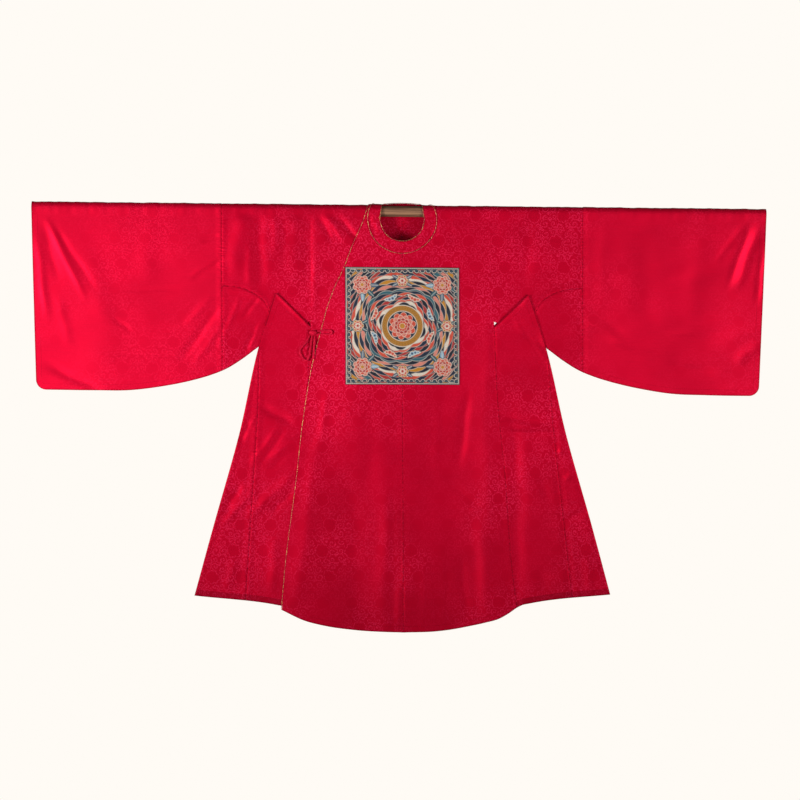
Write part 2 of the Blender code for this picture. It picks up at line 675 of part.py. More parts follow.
def collar_stations():
    """The band from the right shoulder round the front, left side, back and inner front.

    With it comes the number of stations before the inner front, which lies under the overlap.
    """
    outer_right = collar_quarter("right", LAYER, 0.0)[::-1]
    left = collar_quarter("left", None, -90.0)[1:]
    back_left = [collar_station("left", s, free, 0.0) for s, *free in COLLAR_BACK]
    back_right = [collar_station("right", s, free, 0.0) for s, *free in COLLAR_BACK[-2::-1]]
    inner_right = collar_quarter("right", 0.0, -90.0)[::-1]
    visible = len(outer_right) + len(left) + len(back_left) + len(back_right)
    return outer_right + left + back_left + back_right + inner_right, visible


def build_collar():
    """The band and its two gold pipings, one over its seam and one on its free edge."""
    stations, visible = collar_stations()
    base = np.array([points for points, raised in stations])
    along = np.gradient(base, axis=0)
    across = np.gradient(base, axis=1)
    outward = unit(np.cross(across, along))
    seam = base[:, 0]
    front = (seam[:, 1] < 0) & (seam[:, 2] < 0)
    eased = np.where(front, outer_lift(seam[:, 0], np.maximum(-seam[:, 2], 0.0)), 0.0)
    raised = np.array([e if r is None else r for e, (points, r) in zip(eased, stations)])
    lowest = int(np.argmin(seam[:, 2]))
    if outward[lowest, 0, 1] > 0:
        outward = -outward
    inner = base + outward * raised[:, None, None]
    outer = inner + outward * WALL
    rows, columns = base.shape[:2]
    flat = np.stack(np.meshgrid(np.arange(rows), np.arange(columns), indexing="ij"), axis=-1)
    triangles = sheet_triangles([flat])[1]
    points, faces = close_wall(outer.reshape(-1, 3), inner.reshape(-1, 3), triangles)
    add_object("collar", points, faces, RED_SILK)
    last = visible + PIPING_PAST
    edge = outer[:last, -1]
    towards = unit(np.cross(outward[:last, -1], np.gradient(edge, axis=0)))
    if np.dot(towards[0], base[0, -1] - base[0, 0]) < 0:
        towards = -towards
    on_seam = outer[:last, 0] + outward[:last, 0] * (SEAM_GAP + PIPING_RADIUS)
    rib("collar_piping_outer", on_seam, outward[:last, 0])
    rib("collar_piping_inner", edge + towards * (SEAM_GAP + PIPING_RADIUS), outward[:last, -1])


def rib(name, centres, outward):
    """A thin round cord along these centres."""
    sideways = unit(np.cross(np.gradient(centres, axis=0), outward))
    outward = unit(np.cross(sideways, np.gradient(centres, axis=0)))
    turns = np.arange(PIPING_SIDES) * 2 * math.pi / PIPING_SIDES
    ring = np.cos(turns)[:, None] * sideways[:, None] + np.sin(turns)[:, None] * outward[:, None]
    points = (centres[:, None] + PIPING_RADIUS * ring).reshape(-1, 3)
    n = PIPING_SIDES
    faces = [tuple(range(n)), tuple(range(len(points) - 1, len(points) - n - 1, -1))]
    for k in range(len(centres) - 1):
        for i in range(n):
            j = (i + 1) % n
            a, b = k * n, (k + 1) * n
            faces += [(a + j, a + i, b + i), (a + j, b + i, b + j)]
    add_object(name, points, faces, GOLD_CORD)


def build_overlap_piping():
    """The gold cord along the overlap's slanting edge, just outside it."""
    edge = np.array([(-x, s) for s, x, share in overlap_rows()])
    tangent = unit(np.gradient(edge, axis=0))
    beside = edge + np.stack([-tangent[:, 1], tangent[:, 0]], axis=-1) * (SEAM_GAP + PIPING_RADIUS)
    middle = LAYER - WALL / 2
    centres = place(beside[:, 0], beside[:, 1], middle)
    rib("overlap_piping", centres, unit(place(beside[:, 0], beside[:, 1], middle + WALL) - centres))


def ribbon(name, table):
    """A flat ribbon over the front along the rows of a ribbon table."""
    columns = np.array(table)
    path = columns[:, :2] + KNOT_CENTRE
    tangent = np.gradient(path, axis=0)
    normal = unit(np.stack([-tangent[:, 1], tangent[:, 0]], axis=-1))
    half = columns[:, 2:] / 2
    sides = np.stack([path - normal * half, path, path + normal * half], axis=1)
    patch = sides + (0.0, ROD_ARC)
    cloth(name, [patch], lambda x, s: np.full_like(x, RIBBON_LIFT), RIBBON_SILK, RIBBON_WALL)


def build_knot():
    """The tie's knot: a body of rings about the X axis, closed by a point at each end."""
    knot_x, knot_drop = KNOT_CENTRE
    centre = place(knot_x, ROD_ARC + knot_drop, KNOT_LIFT)
    points = []
    for step in range(1, KNOT_RINGS):
        tilt = math.pi * step / KNOT_RINGS
        for side in range(KNOT_SIDES):
            turn = side * 2 * math.pi / KNOT_SIDES
            offset = (math.cos(tilt), math.sin(tilt) * math.cos(turn), math.sin(tilt) * math.sin(turn))
            points.append(centre + np.array(KNOT_HALF) * offset)
    last = len(points)
    points += [centre + (KNOT_HALF[0], 0.0, 0.0), centre - (KNOT_HALF[0], 0.0, 0.0)]
    n = KNOT_SIDES
    faces = []
    for i in range(n):
        j = (i + 1) % n
        faces += [(last, i, j), (last + 1, last - n + j, last - n + i)]
        for k in range(0, last - n, n):
            faces.append((k + j, k + i, k + n + i, k + n + j))
    add_object("tie_knot", points, faces, RIBBON_SILK)


def main():
    for old in list(bpy.data.objects):
        bpy.data.objects.remove(old, do_unlink=True)
    build_rod()
    for side in SIDES:
        build_body(side)
        build_sleeve(side)
        for surface in SURFACES:
            build_gusset(side, surface)
            build_side_panel(side, surface)
            build_side_gore(side, surface)
    build_overlap()
    build_badge()
    build_collar()
    build_overlap_piping()
    ribbon("tie_strap", TIE_STRAP)
    ribbon("tie_loop", TIE_LOOP)
    ribbon("tie_tail", TIE_TAIL)
    build_knot()


main()
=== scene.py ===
"""Silk court robe with side wings and a chest badge, hung on a wooden rod.

The robe hangs in the frame of its solids: metres, +Z up, -Y in front, the rod along X. Every cloth
piece is a wall over the flat coordinates x and s, where s is the length along the cloth from the
top of the rod, positive down the front and negative down the back.
"""

import math

import bpy
import numpy as np
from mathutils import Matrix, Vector


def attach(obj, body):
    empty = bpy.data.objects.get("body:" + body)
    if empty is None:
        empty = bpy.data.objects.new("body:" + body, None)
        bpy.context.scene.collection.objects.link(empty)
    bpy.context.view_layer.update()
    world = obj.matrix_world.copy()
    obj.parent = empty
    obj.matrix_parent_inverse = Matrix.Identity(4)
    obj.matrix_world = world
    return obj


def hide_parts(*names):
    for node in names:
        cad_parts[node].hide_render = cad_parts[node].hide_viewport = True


bl_info = {
    "name": "Hanging silk robe",
    "version": (1, 0, 0),
    "blender": (4, 5, 0),
    "location": "3D View > Sidebar > Robe",
    "description": "Makes a hanging court robe of silk damask with its badge, ties and rod",
    "category": "Object",
}

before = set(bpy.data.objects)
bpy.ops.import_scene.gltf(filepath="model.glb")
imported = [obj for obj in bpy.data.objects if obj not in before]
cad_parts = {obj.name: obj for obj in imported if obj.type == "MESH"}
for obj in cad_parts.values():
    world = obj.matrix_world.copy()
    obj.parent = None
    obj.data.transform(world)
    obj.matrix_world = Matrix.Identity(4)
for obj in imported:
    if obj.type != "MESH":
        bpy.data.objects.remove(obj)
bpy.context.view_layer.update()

# Rod, cloth layers and neck, in metres, as in the solids
ROD_RADIUS = 0.017
ROD_INSET = 0.006
CUFF_X = {"right": 1.147, "left": 1.128}
WALL = 0.0015
SEAM_GAP = 0.0003
SEAM_LAP = -0.00015  # sewn edges reach this far past the seam's line, so that no light slips through
LAYER = 0.0025
CLOTH_RADIUS = ROD_RADIUS + SEAM_GAP + WALL
ROD_ARC = CLOTH_RADIUS * math.pi / 2
CLOSED_DEPTH = WALL + SEAM_GAP / 2
NEAR_ROD = 0.10
LEAN = 0.0138
RISE = 0.017
HEM_DROP = 1.3035
NECK_RADIUS = 0.107
NECK_CENTRE = ROD_ARC + 0.024
NECK_BACK = 0.038
NECK_ANGLES = (0, 15, 32, 50, 70, 90)
FRONT_STATION = len(NECK_ANGLES) + 4  # a station of the collar that lies in the front
COLLAR_INNER = 0.070
COLLAR_CLEAR = 0.0008
COLLAR_BACK_GAP = 0.0016
COLLAR_BACK_RISE = 0.0008
ARMPIT_X = 0.284
ARMPIT_DROP = 0.340
WING_TOP = (0.392, 0.253)
SLIT_FOOT = {"front": {"right": 0.358, "left": 0.358}, "back": {"right": 0.341, "left": 0.351}}
WING_FIRST_SHARE = 0.11
OVERLAP_WIDTH = 0.28
GUSSET_WIDTH = 0.20
GUSSET_START = 0.373  # drop at which the gussets' grids begin
LAST_COLUMNS = (0.004, 0.0015)  # distances from the sleeve's seam, and the drop of their feet
LAST_COLUMNS_FOOT = 0.2341
ROUNDS = 4  # for places and drops that depend on each other
WING_LENGTH = 0.85
PANEL_WIDTH = 0.16
GORE_WIDTH = 0.10
SLIT_FALL = 0.11
PANEL_TOP_GAP = 0.0035
SLIT_SLANT_SHARE = 0.7  # distance to the slit as a share of the way to it across the cloth
HEM_TURN = (0.0165, 0.0205)  # where the turned-up hem of a wing ends
HEM_BEND = 6  # power of the share at which a wing's rows bend from straight to the hem's line
SLEEVE_SEAM_X = 0.558
LOWER_SLACK = 0.5
LOWER_LENGTH = 0.9
CLOSING_CURVE = 1.6
WING_CURVE = 1.3
CHEST_OPEN = 0.10
SKIRT_OPEN = 0.35
GRIP_SPAN = (0.45, 1.10)
GRIP_SHARE = 0.8
CUFF_SLANT = 0.018
CUFF_CORNER = 0.030
BADGE_HALF = 0.1765
BADGE_DROPS = (0.174, 0.537)
BADGE_WALL = 0.0012
PIPING_RADIUS = 0.0011
PIPING_POINTS = 900
TAPE_POINTS = 46
TAPE_CURL = 0.0006
TAPE_TWIST = 0.0004
TAPE_WAVE = 260.0  # radians a metre
BAND_PUFF = 0.0006
GATHER_HEIGHT = 0.0004
GATHER_WAVES = (430.0, 61.0, 23.0)  # radians a metre: gathers, how they drift, how they fade
ROD_END = 0.003  # length over which the rod's ends are eased
ROD_SLIM = 0.0002
ROD_OUT_OF_ROUND = 0.004
PIPING_PAST = 4  # stations over which the pipings run on along the inner front
RIBBON_WALL = 0.0012
KNOT_CENTRE = (-0.277, 0.377)
KNOT_HALF = (0.012, 0.0045, 0.008)
KNOT_LIFT = 0.0052
INNER_HEM_SHORTER = 0.006
SIDES = {"right": -1.0, "left": 1.0}
SURFACES = {"front": 1.0, "back": -1.0}

# Drop, half-width of the body at the side seam
SIDE_SEAM = ((0.340, 0.284), (0.597, 0.295), (0.829, 0.318), (1.077, 0.334), (1.230, 0.351))

# Half-width, drop of the sleeve's sewn bottom edge
SLEEVE_BOTTOM = (
    (0.284, 0.340),
    (0.445, 0.421),
    (0.496, 0.459),
    (0.546, 0.490),
    (0.595, 0.510),
    (0.645, 0.525),
    (0.747, 0.547),
    (0.845, 0.560),
    (0.940, 0.562),
    (1.150, 0.562),
)

# Drop, half-width of the wing's outer edge
WING_EDGE = ((0.253, 0.392), (0.421, 0.445), (0.684, 0.505), (0.981, 0.588), (1.190, 0.6445))

# Drop, half-width of the seam between side panel and side gore
GORE_SEAM = {
    "right": ((0.421, 0.4450), (0.527, 0.4455), (0.850, 0.4640), (1.205, 0.4880)),
    "left": ((0.434, 0.4489), (0.657, 0.4650), (0.920, 0.4930), (1.200, 0.5230)),
}

# Half-width, drop of the body's hem, then of the wing's
HEM = (
    (0.000, 1.3035),
    (0.100, 1.3005),
    (0.154, 1.2940),
    (0.200, 1.2860),
    (0.250, 1.2760),
    (0.300, 1.2620),
    (0.328, 1.2460),
    (0.351, 1.2300),
    (0.368, 1.2215),
    (0.390, 1.2170),
    (0.6445, 1.1890),
)
OVERLAP_HEM = ((0.000, 1.3035), (0.154, 1.2950), (0.254, 1.2790), (0.303, 1.2660), (0.377, 1.2315))

# Cloth length from the rod's top, half-width of the overlap's slanting free edge
OVERLAP_EDGE = (
    (0.000, 0.1000),
    (ROD_ARC, 0.1090),
    (ROD_ARC + 0.024, 0.1163),
    (ROD_ARC + 0.102, 0.1503),
    (ROD_ARC + 0.195, 0.1874),
    (ROD_ARC + 0.228, 0.2039),
    (ROD_ARC + 0.295, 0.2297),
    (ROD_ARC + 0.366, 0.2496),
    (ROD_ARC + 0.457, 0.2737),
    (ROD_ARC + 0.643, 0.3070),
    (ROD_ARC + 0.845, 0.3306),
    (ROD_ARC + 1.076, 0.3615),
    (ROD_ARC + 1.240, 0.3770),
)

# Half-width, drop along the underarm curve between body panel and gusset
GUSSET_CURVE = (
    (0.394, 0.3953),
    (0.402, 0.3400),
    (0.420, 0.2930),
    (0.435, 0.2740),
    (0.467, 0.2530),
    (0.505, 0.2400),
    (SLEEVE_SEAM_X, 0.2340),
)

# Degrees round the rod from its top (front positive), then x, y, z of the collar's free edge
COLLAR_STAND = (
    (0.0, 0.063, 0.0000, 0.0173),
    (-22.5, 0.060, 0.0080, 0.0205),
    (-45.0, 0.055, 0.0145, 0.0220),
    (-67.5, 0.046, 0.0185, 0.0235),
    (-90.0, 0.033, 0.0200, 0.0250),
)
# Cloth length behind the rod's top, then x, y, z of the collar's free edge at the back neck
COLLAR_BACK = (
    (-0.0340, 0.021, 0.0205, 0.0256),
    (-0.0370, 0.010, 0.0207, 0.0259),
    (-NECK_BACK, 0.000, 0.0208, 0.0260),
)
# Degrees round the rod, then x and cloth length of the collar's free edge in front of the rod's top
COLLAR_OVER_ROD = ((22.5, 0.0645, 0.011), (45.0, 0.0655, 0.021), (67.5, 0.0665, 0.030))

# Broad folds. Columns: x and drop of the top, x and drop of the foot, half-width, height
FRONT_FOLDS = (
    (-0.310, 0.72, -0.322, 1.36, 0.105, 0.0100),
    (-0.150, 0.70, -0.135, 1.36, 0.045, -0.0040),
    (-0.045, 0.72, -0.036, 1.36, 0.034, 0.0042),
    (0.130, 0.60, 0.150, 1.36, 0.060, 0.0042),
    (-0.440, 0.03, -0.455, 0.30, 0.055, 0.0030),
    (-0.330, 0.04, -0.300, 0.26, 0.050, -0.0028),
    (0.330, 0.06, 0.380, 0.30, 0.060, 0.0026),
    (-1.060, 0.03, -0.900, 0.50, 0.070, 0.0030),
    (-0.760, 0.08, -0.700, 0.46, 0.075, -0.0026),
    (1.040, 0.04, 0.930, 0.50, 0.070, 0.0030),
    (0.740, 0.10, 0.700, 0.46, 0.080, -0.0024),
)
BACK_FOLDS = (
    (-0.210, 0.30, -0.240, 1.36, 0.075, 0.0045),
    (-0.060, 0.35, -0.070, 1.36, 0.060, -0.0032),
    (0.110, 0.30, 0.120, 1.36, 0.070, 0.0042),
    (0.260, 0.50, 0.270, 1.36, 0.060, -0.0026),
    (-0.960, 0.05, -0.860, 0.50, 0.080, 0.0032),
    (0.420, 0.05, 0.440, 0.30, 0.060, 0.0028),
    (0.900, 0.06, 0.820, 0.50, 0.080, 0.0034),
)

# Creases of the front layer alone, with the same columns
FRONT_CREASES = (
    (-0.490, 0.010, -0.525, 0.200, 0.028, 0.0036),
    (-0.470, 0.115, -0.475, 0.230, 0.012, 0.0018),
    (-0.445, 0.010, -0.440, 0.230, 0.018, -0.0030),
    (-0.390, 0.020, -0.390, 0.130, 0.015, 0.0020),
    (-0.330, 0.020, -0.330, 0.205, 0.022, 0.0034),
    (-0.290, 0.015, -0.290, 0.250, 0.014, -0.0026),
    (-0.270, 0.160, -0.275, 0.305, 0.011, 0.0022),
    (-0.265, 0.005, -0.220, 0.090, 0.009, -0.0022),
    (-0.240, 0.005, -0.180, 0.090, 0.009, 0.0024),
    (-0.215, 0.000, -0.140, 0.085, 0.009, -0.0034),
    (-0.140, -0.015, -0.120, 0.025, 0.008, -0.0022),
    (-0.104, 0.004, -0.084, 0.072, 0.006, -0.0016),
    (-0.092, 0.000, -0.068, 0.080, 0.006, 0.0016),
    (-0.078, 0.030, -0.040, 0.098, 0.007, -0.0012),
    (0.086, 0.035, 0.060, 0.085, 0.008, -0.0012),
    (0.105, 0.005, 0.095, 0.170, 0.008, -0.0020),
    (0.140, 0.000, 0.155, 0.085, 0.009, -0.0012),
    (0.325, 0.000, 0.330, 0.260, 0.012, -0.0026),
    (0.395, 0.010, 0.375, 0.240, 0.020, 0.0018),
    (0.270, 0.355, 0.260, 0.580, 0.014, -0.0040),
    (0.260, 0.570, 0.272, 1.210, 0.026, -0.0046),
    (0.330, 0.600, 0.352, 1.200, 0.024, 0.0042),
    (0.200, 0.570, 0.175, 0.770, 0.014, 0.0030),
    (0.115, 0.600, 0.105, 0.800, 0.018, 0.0014),
    (0.095, 0.090, 0.094, 0.170, 0.010, 0.0012),
    (0.117, 0.080, 0.116, 0.165, 0.010, -0.0014),
    (0.120, 0.825, 0.240, 0.915, 0.013, 0.0014),
    (0.210, 0.930, 0.255, 0.910, 0.009, -0.0014),
    (-0.295, 0.520, -0.303, 0.730, 0.032, -0.0052),
    (-0.262, 0.700, -0.325, 1.200, 0.026, 0.0036),
    (-0.185, 0.800, -0.165, 1.270, 0.045, -0.0044),
    (-0.035, 0.890, -0.065, 1.270, 0.032, 0.0030),
    (0.005, 1.080, -0.015, 1.290, 0.013, -0.0030),
    (0.070, 1.080, 0.065, 1.290, 0.014, 0.0014),
    (0.130, 1.080, 0.130, 1.285, 0.013, 0.0010),
    (0.240, 0.955, 0.255, 1.235, 0.020, -0.0030),
    (0.180, 1.080, 0.195, 1.250, 0.012, 0.0012),
    (-0.235, 0.570, -0.250, 0.680, 0.010, 0.0012),
    (-0.155, 0.610, -0.185, 0.640, 0.006, 0.0009),
    (-0.095, 0.540, -0.110, 0.895, 0.026, -0.0016),
    (0.030, 0.555, 0.035, 0.955, 0.030, 0.0010),
)
BACK_CREASES = (
    (-0.160, 0.16, -0.230, 0.52, 0.016, 0.0024),
    (-0.110, 0.20, -0.150, 0.46, 0.012, -0.0020),
    (0.170, 0.18, 0.235, 0.60, 0.018, 0.0026),
    (0.100, 0.24, 0.130, 0.50, 0.011, -0.0018),
    (-0.300, 0.05, -0.340, 0.24, 0.012, 0.0022),
    (0.310, 0.04, 0.360, 0.26, 0.013, -0.0024),
    (0.020, 0.62, 0.028, 1.28, 0.030, 0.0030),
    (-0.150, 0.70, -0.165, 1.29, 0.024, -0.0034),
    (-0.290, 0.66, -0.305, 1.22, 0.020, 0.0026),
    (0.190, 0.72, 0.205, 1.26, 0.022, -0.0032),
    (-0.240, 0.770, 0.220, 0.762, 0.003, 0.0006),
)
# Creases in which both layers lie together
SHARED_CREASES = (
    (-1.105, 0.065, -1.065, 0.210, 0.014, -0.0016),
    (-1.125, 0.110, -1.100, 0.320, 0.011, 0.0022),
    (-1.090, 0.055, -0.990, 0.255, 0.010, 0.0024),
    (-1.065, 0.075, -0.955, 0.240, 0.009, -0.0014),
    (-1.090, 0.490, -0.945, 0.555, 0.013, -0.0022),
    (-1.060, 0.285, -1.030, 0.410, 0.014, 0.0010),
    (-0.975, 0.130, -0.905, 0.375, 0.030, 0.0012),
    (-0.780, 0.050, -0.795, 0.220, 0.032, 0.0014),
    (-0.890, 0.340, -0.840, 0.375, 0.006, -0.0010),
    (-0.855, 0.255, -0.695, 0.245, 0.004, -0.0008),
    (-0.905, 0.450, -0.680, 0.450, 0.004, -0.0008),
    (-0.640, 0.210, -0.560, 0.160, 0.006, -0.0018),
    (-0.645, 0.200, -0.565, 0.145, 0.006, 0.0012),
    (-0.615, 0.100, -0.570, 0.080, 0.005, -0.0012),
    (-0.575, 0.310, -0.675, 0.450, 0.012, -0.0030),
    (-0.595, 0.280, -0.665, 0.350, 0.010, 0.0020),
    (-0.560, 0.360, -0.640, 0.470, 0.009, 0.0016),
    (-0.505, 0.280, -0.545, 0.370, 0.007, 0.0014),
    (-0.450, 0.275, -0.490, 0.325, 0.006, -0.0020),
    (-0.455, 0.375, -0.490, 0.440, 0.007, -0.0024),
    (-0.435, 0.345, -0.475, 0.420, 0.007, 0.0016),
    (-0.540, 0.340, -0.585, 0.415, 0.008, -0.0010),
    (1.105, 0.040, 1.045, 0.210, 0.014, -0.0036),
    (1.075, 0.040, 1.015, 0.210, 0.009, 0.0022),
    (1.115, 0.115, 1.100, 0.265, 0.008, 0.0022),
    (1.055, 0.035, 0.975, 0.145, 0.010, -0.0010),
    (0.555, 0.325, 0.695, 0.410, 0.014, -0.0026),
    (0.565, 0.295, 0.675, 0.365, 0.010, 0.0014),
    (0.825, 0.375, 0.905, 0.370, 0.004, -0.0008),
    (1.040, 0.455, 1.105, 0.405, 0.018, -0.0022),
    (0.675, 0.400, 0.845, 0.435, 0.020, -0.0016),
    (0.740, 0.080, 0.770, 0.360, 0.034, 0.0016),
    (0.925, 0.065, 0.895, 0.330, 0.030, -0.0012),
    (0.625, 0.035, 0.615, 0.270, 0.022, -0.0012),
    (0.835, 0.475, 0.965, 0.490, 0.016, 0.0014),
    (-0.440, 0.605, -0.345, 0.655, 0.013, -0.0024),
    (-0.390, 0.680, -0.460, 0.770, 0.009, 0.0026),
    (-0.370, 0.685, -0.435, 0.775, 0.007, -0.0016),
    (-0.320, 0.695, -0.400, 0.755, 0.009, 0.0030),
    (-0.320, 0.730, -0.405, 0.790, 0.008, -0.0014),
    (-0.340, 0.820, -0.460, 0.925, 0.014, 0.0036),
    (-0.345, 0.875, -0.405, 0.925, 0.009, -0.0022),
    (-0.475, 0.660, -0.505, 0.715, 0.008, -0.0026),
    (-0.455, 0.640, -0.490, 0.685, 0.008, 0.0016),
    (-0.505, 0.850, -0.550, 0.925, 0.012, -0.0028),
    (-0.475, 0.880, -0.550, 0.960, 0.009, 0.0022),
    (-0.520, 1.080, -0.545, 1.170, 0.012, 0.0014),
    (-0.395, 1.015, -0.405, 1.170, 0.016, 0.0014),
    (0.345, 0.330, 0.435, 0.420, 0.015, -0.0032),
    (0.335, 0.310, 0.375, 0.285, 0.009, 0.0022),
    (0.375, 0.365, 0.450, 0.495, 0.010, 0.0020),
    (0.315, 0.635, 0.465, 0.660, 0.011, -0.0020),
    (0.325, 0.685, 0.460, 0.685, 0.007, 0.0020),
    (0.350, 0.695, 0.365, 0.955, 0.022, 0.0022),
    (0.495, 0.735, 0.485, 0.750, 0.008, -0.0020),
    (0.525, 0.815, 0.505, 0.830, 0.008, -0.0020),
    (0.425, 0.830, 0.450, 0.895, 0.014, 0.0012),
    (0.565, 0.930, 0.505, 0.955, 0.009, 0.0018),
    (0.425, 1.115, 0.440, 1.175, 0.018, 0.0012),
    (0.570, 1.070, 0.580, 1.175, 0.012, -0.0012),
)

# Slow waves of the hanging silk. Columns: direction, waves in radians a metre, start
WAVES = (
    (0.3, 23.0, 0.4),
    (1.2, 31.0, 2.1),
    (2.0, 41.0, 4.4),
    (2.7, 17.0, 5.6),
    (0.9, 57.0, 1.3),
)
FRONT_WAVE = 0.0007  # their height on the front, on the back, on both layers and over the rod
BACK_WAVE = 0.0009
SHARED_WAVE = 0.0006
ROD_WAVE = 0.0007
RISE_LOST = 0.3  # share of a fold's height that is lost where front and back touch

# Shares of its length between which a fold or crease sets in and ends
FOLD_ENDS = (-0.15, 0.35, 1.0, 1.25)
CREASE_ENDS = (-0.22, 0.25, 0.75, 1.22)

# Where things set in, as start and end. Drops: folds, creases and shared creases under the rod
FOLD_EASE = (0.01, NEAR_ROD)
CREASE_EASE = (0.004, 0.035)
SHARED_EASE = (0.0, 0.05)
ROD_EASE = (0.0, 0.03)
# Layers: half-widths from the middle, drops under the neck's foot, half-widths at the left side,
# drops along the wing's free top, distances from the wing's seam, its slit and its outer edge
MIDDLE_EASE = (0.0, 0.06)
NECK_EASE = (0.0, 0.13)
SIDE_EASE = (0.20, 0.32)
WING_EASE = (0.425, 0.490)
SEAM_EASE = (0.001, 0.013)
SLIT_CURL = (0.0, 0.012)
EDGE_CURL = (0.0, 0.010)
SLIT_CURL_HEIGHT = 0.0022
EDGE_CURL_HEIGHT = 0.0012
SEAM_DIP_WIDTH = 0.0045
FAR = 0.1  # stands for "no seam or hem near"
SLANT_SHARE = 0.8  # distance to a slanting seam as a share of the way to it down the cloth

# Curls of the damask's vine in half a repeat. Columns: x, y, radius, pitch in mm, hand, start turn
CURLS = (
    (33.5, 1.0, 13.0, 8.6, 1.0, 0.10),
    (11.5, 31.0, 11.0, 7.8, -1.0, 0.35),
    (31.5, 25.5, 11.5, 8.2, -1.0, 0.60),
    (32.5, -24.0, 11.5, 8.2, 1.0, 0.20),
    (10.5, -31.5, 11.0, 7.8, 1.0, 0.75),
)
# Leaves of the vine. Columns: x, y, half-length, half-width in mm, degrees
LEAVES = (
    (43.0, 13.5, 6.0, 2.6, 60.0),
    (43.5, -12.5, 6.0, 2.5, -55.0),
    (21.5, 36.5, 5.4, 2.3, 10.0),
    (22.0, -36.5, 5.4, 2.3, -15.0),
    (0.0, 36.0, 2.4, 4.0, 0.0),
    (0.0, -36.0, 2.4, 4.0, 0.0),
    (42.5, 37.0, 4.2, 2.6, 30.0),
    (42.5, -37.0, 4.2, 2.6, -30.0),
    (25.5, 13.5, 4.6, 2.0, -35.0),
    (25.0, -13.0, 4.6, 2.0, 40.0),
)


def smooth(low, high, value):
    """Zero below low, one above high, with a soft step between."""
    t = np.clip((value - low) / (high - low), 0.0, 1.0)
    return t * t * (3.0 - 2.0 * t)


def read(table, value):
    """Second column of a table at a value of its first, along a smooth curve through its rows."""
    x, y = np.array(table)[:, :2].T
    slope = np.gradient(y, x)
    value = np.clip(value, x[0], x[-1])
    i = np.clip(np.searchsorted(x, value, side="right") - 1, 0, len(x) - 2)
    width = x[i + 1] - x[i]
    t = (value - x[i]) / width
    start = (1 + 2 * t) * (1 - t) ** 2 * y[i] + t * (1 - t) ** 2 * width * slope[i]
    return start + t**2 * (3 - 2 * t) * y[i + 1] + t**2 * (t - 1) * width * slope[i + 1]


def closedness(x, drop):
    """How nearly front and back meet: 0 as far apart as the rod holds them, 1 at a closed seam."""
    half = np.abs(x)
    seam = read(SIDE_SEAM, drop)
    edge = np.maximum(read(WING_EDGE, drop), seam + 0.01)
    bottom = read(SLEEVE_BOTTOM, half)
    at_seam = 1.0 - LOWER_SLACK * np.clip((drop - ARMPIT_DROP) / LOWER_LENGTH, 0.0, 1.0)
    shoulder = np.clip(drop / bottom, 0.0, 1.0) ** CLOSING_CURVE
    chest = np.clip(drop / ARMPIT_DROP, 0.0, 1.0) ** CLOSING_CURVE * smooth(CHEST_OPEN, ARMPIT_X, half)
    skirt = at_seam * smooth(SKIRT_OPEN, 1.0, half / seam)
    out = np.clip((half - seam) / (edge - seam), 0.0, 1.0)
    wing = at_seam + (1.0 - at_seam) * (1.0 - (1.0 - out) ** WING_CURVE)
    upper = np.where(half < ARMPIT_X, chest, shoulder)
    lower = np.where(half < seam, skirt, wing)
    above = (drop <= ARMPIT_DROP) | ((half > ARMPIT_X) & (drop <= bottom))
    return np.where(above, upper, lower)


def taper(share, ends):
    """1 along the middle of a fold or crease, eased to 0 at its two ends."""
    return smooth(ends[0], ends[1], share) * (1.0 - smooth(ends[2], ends[3], share))


def folds(table, x, drop):
    """Soft folds: each is a bell curve of the distance from a line, faded in and out along it."""
    height = np.zeros_like(x)
    for top_x, top, foot_x, foot, half_width, size in table:
        share = (drop - top) / (foot - top)
        middle = top_x + (foot_x - top_x) * np.clip(share, 0.0, 1.0)
        height += size * taper(share, FOLD_ENDS) * np.exp(-(((x - middle) / half_width) ** 2))
    return height


def creases(table, x, drop):
    """Creases: a bell curve of the distance from a line segment, tapering to its two ends."""
    height = np.zeros_like(x)
    for start_x, start, end_x, end, half_width, size in table:
        dx, dz = end_x - start_x, end - start
        length = math.hypot(dx, dz)
        along = ((x - start_x) * dx + (drop - start) * dz) / length**2
        off = ((x - start_x) * dz - (drop - start) * dx) / length
        bend = 0.12 * half_width * np.sin(9.0 * along + 40.0 * start_x)
        height += size * taper(along, CREASE_ENDS) * np.exp(-(((off - bend) / half_width) ** 2))
    return height


def unevenness(x, drop, seed):
    """Slow waves of hanging silk: a sum of five sines in unlike directions, about 1 in size."""
    total = np.zeros_like(x)
    for turn, wave, phase in WAVES:
        across = x * math.cos(turn + seed) + drop * math.sin(turn + seed)
        total += np.sin(wave * across + phase + seed + 1.3 * np.sin(0.6 * wave * drop + seed))
    return total / 3.0


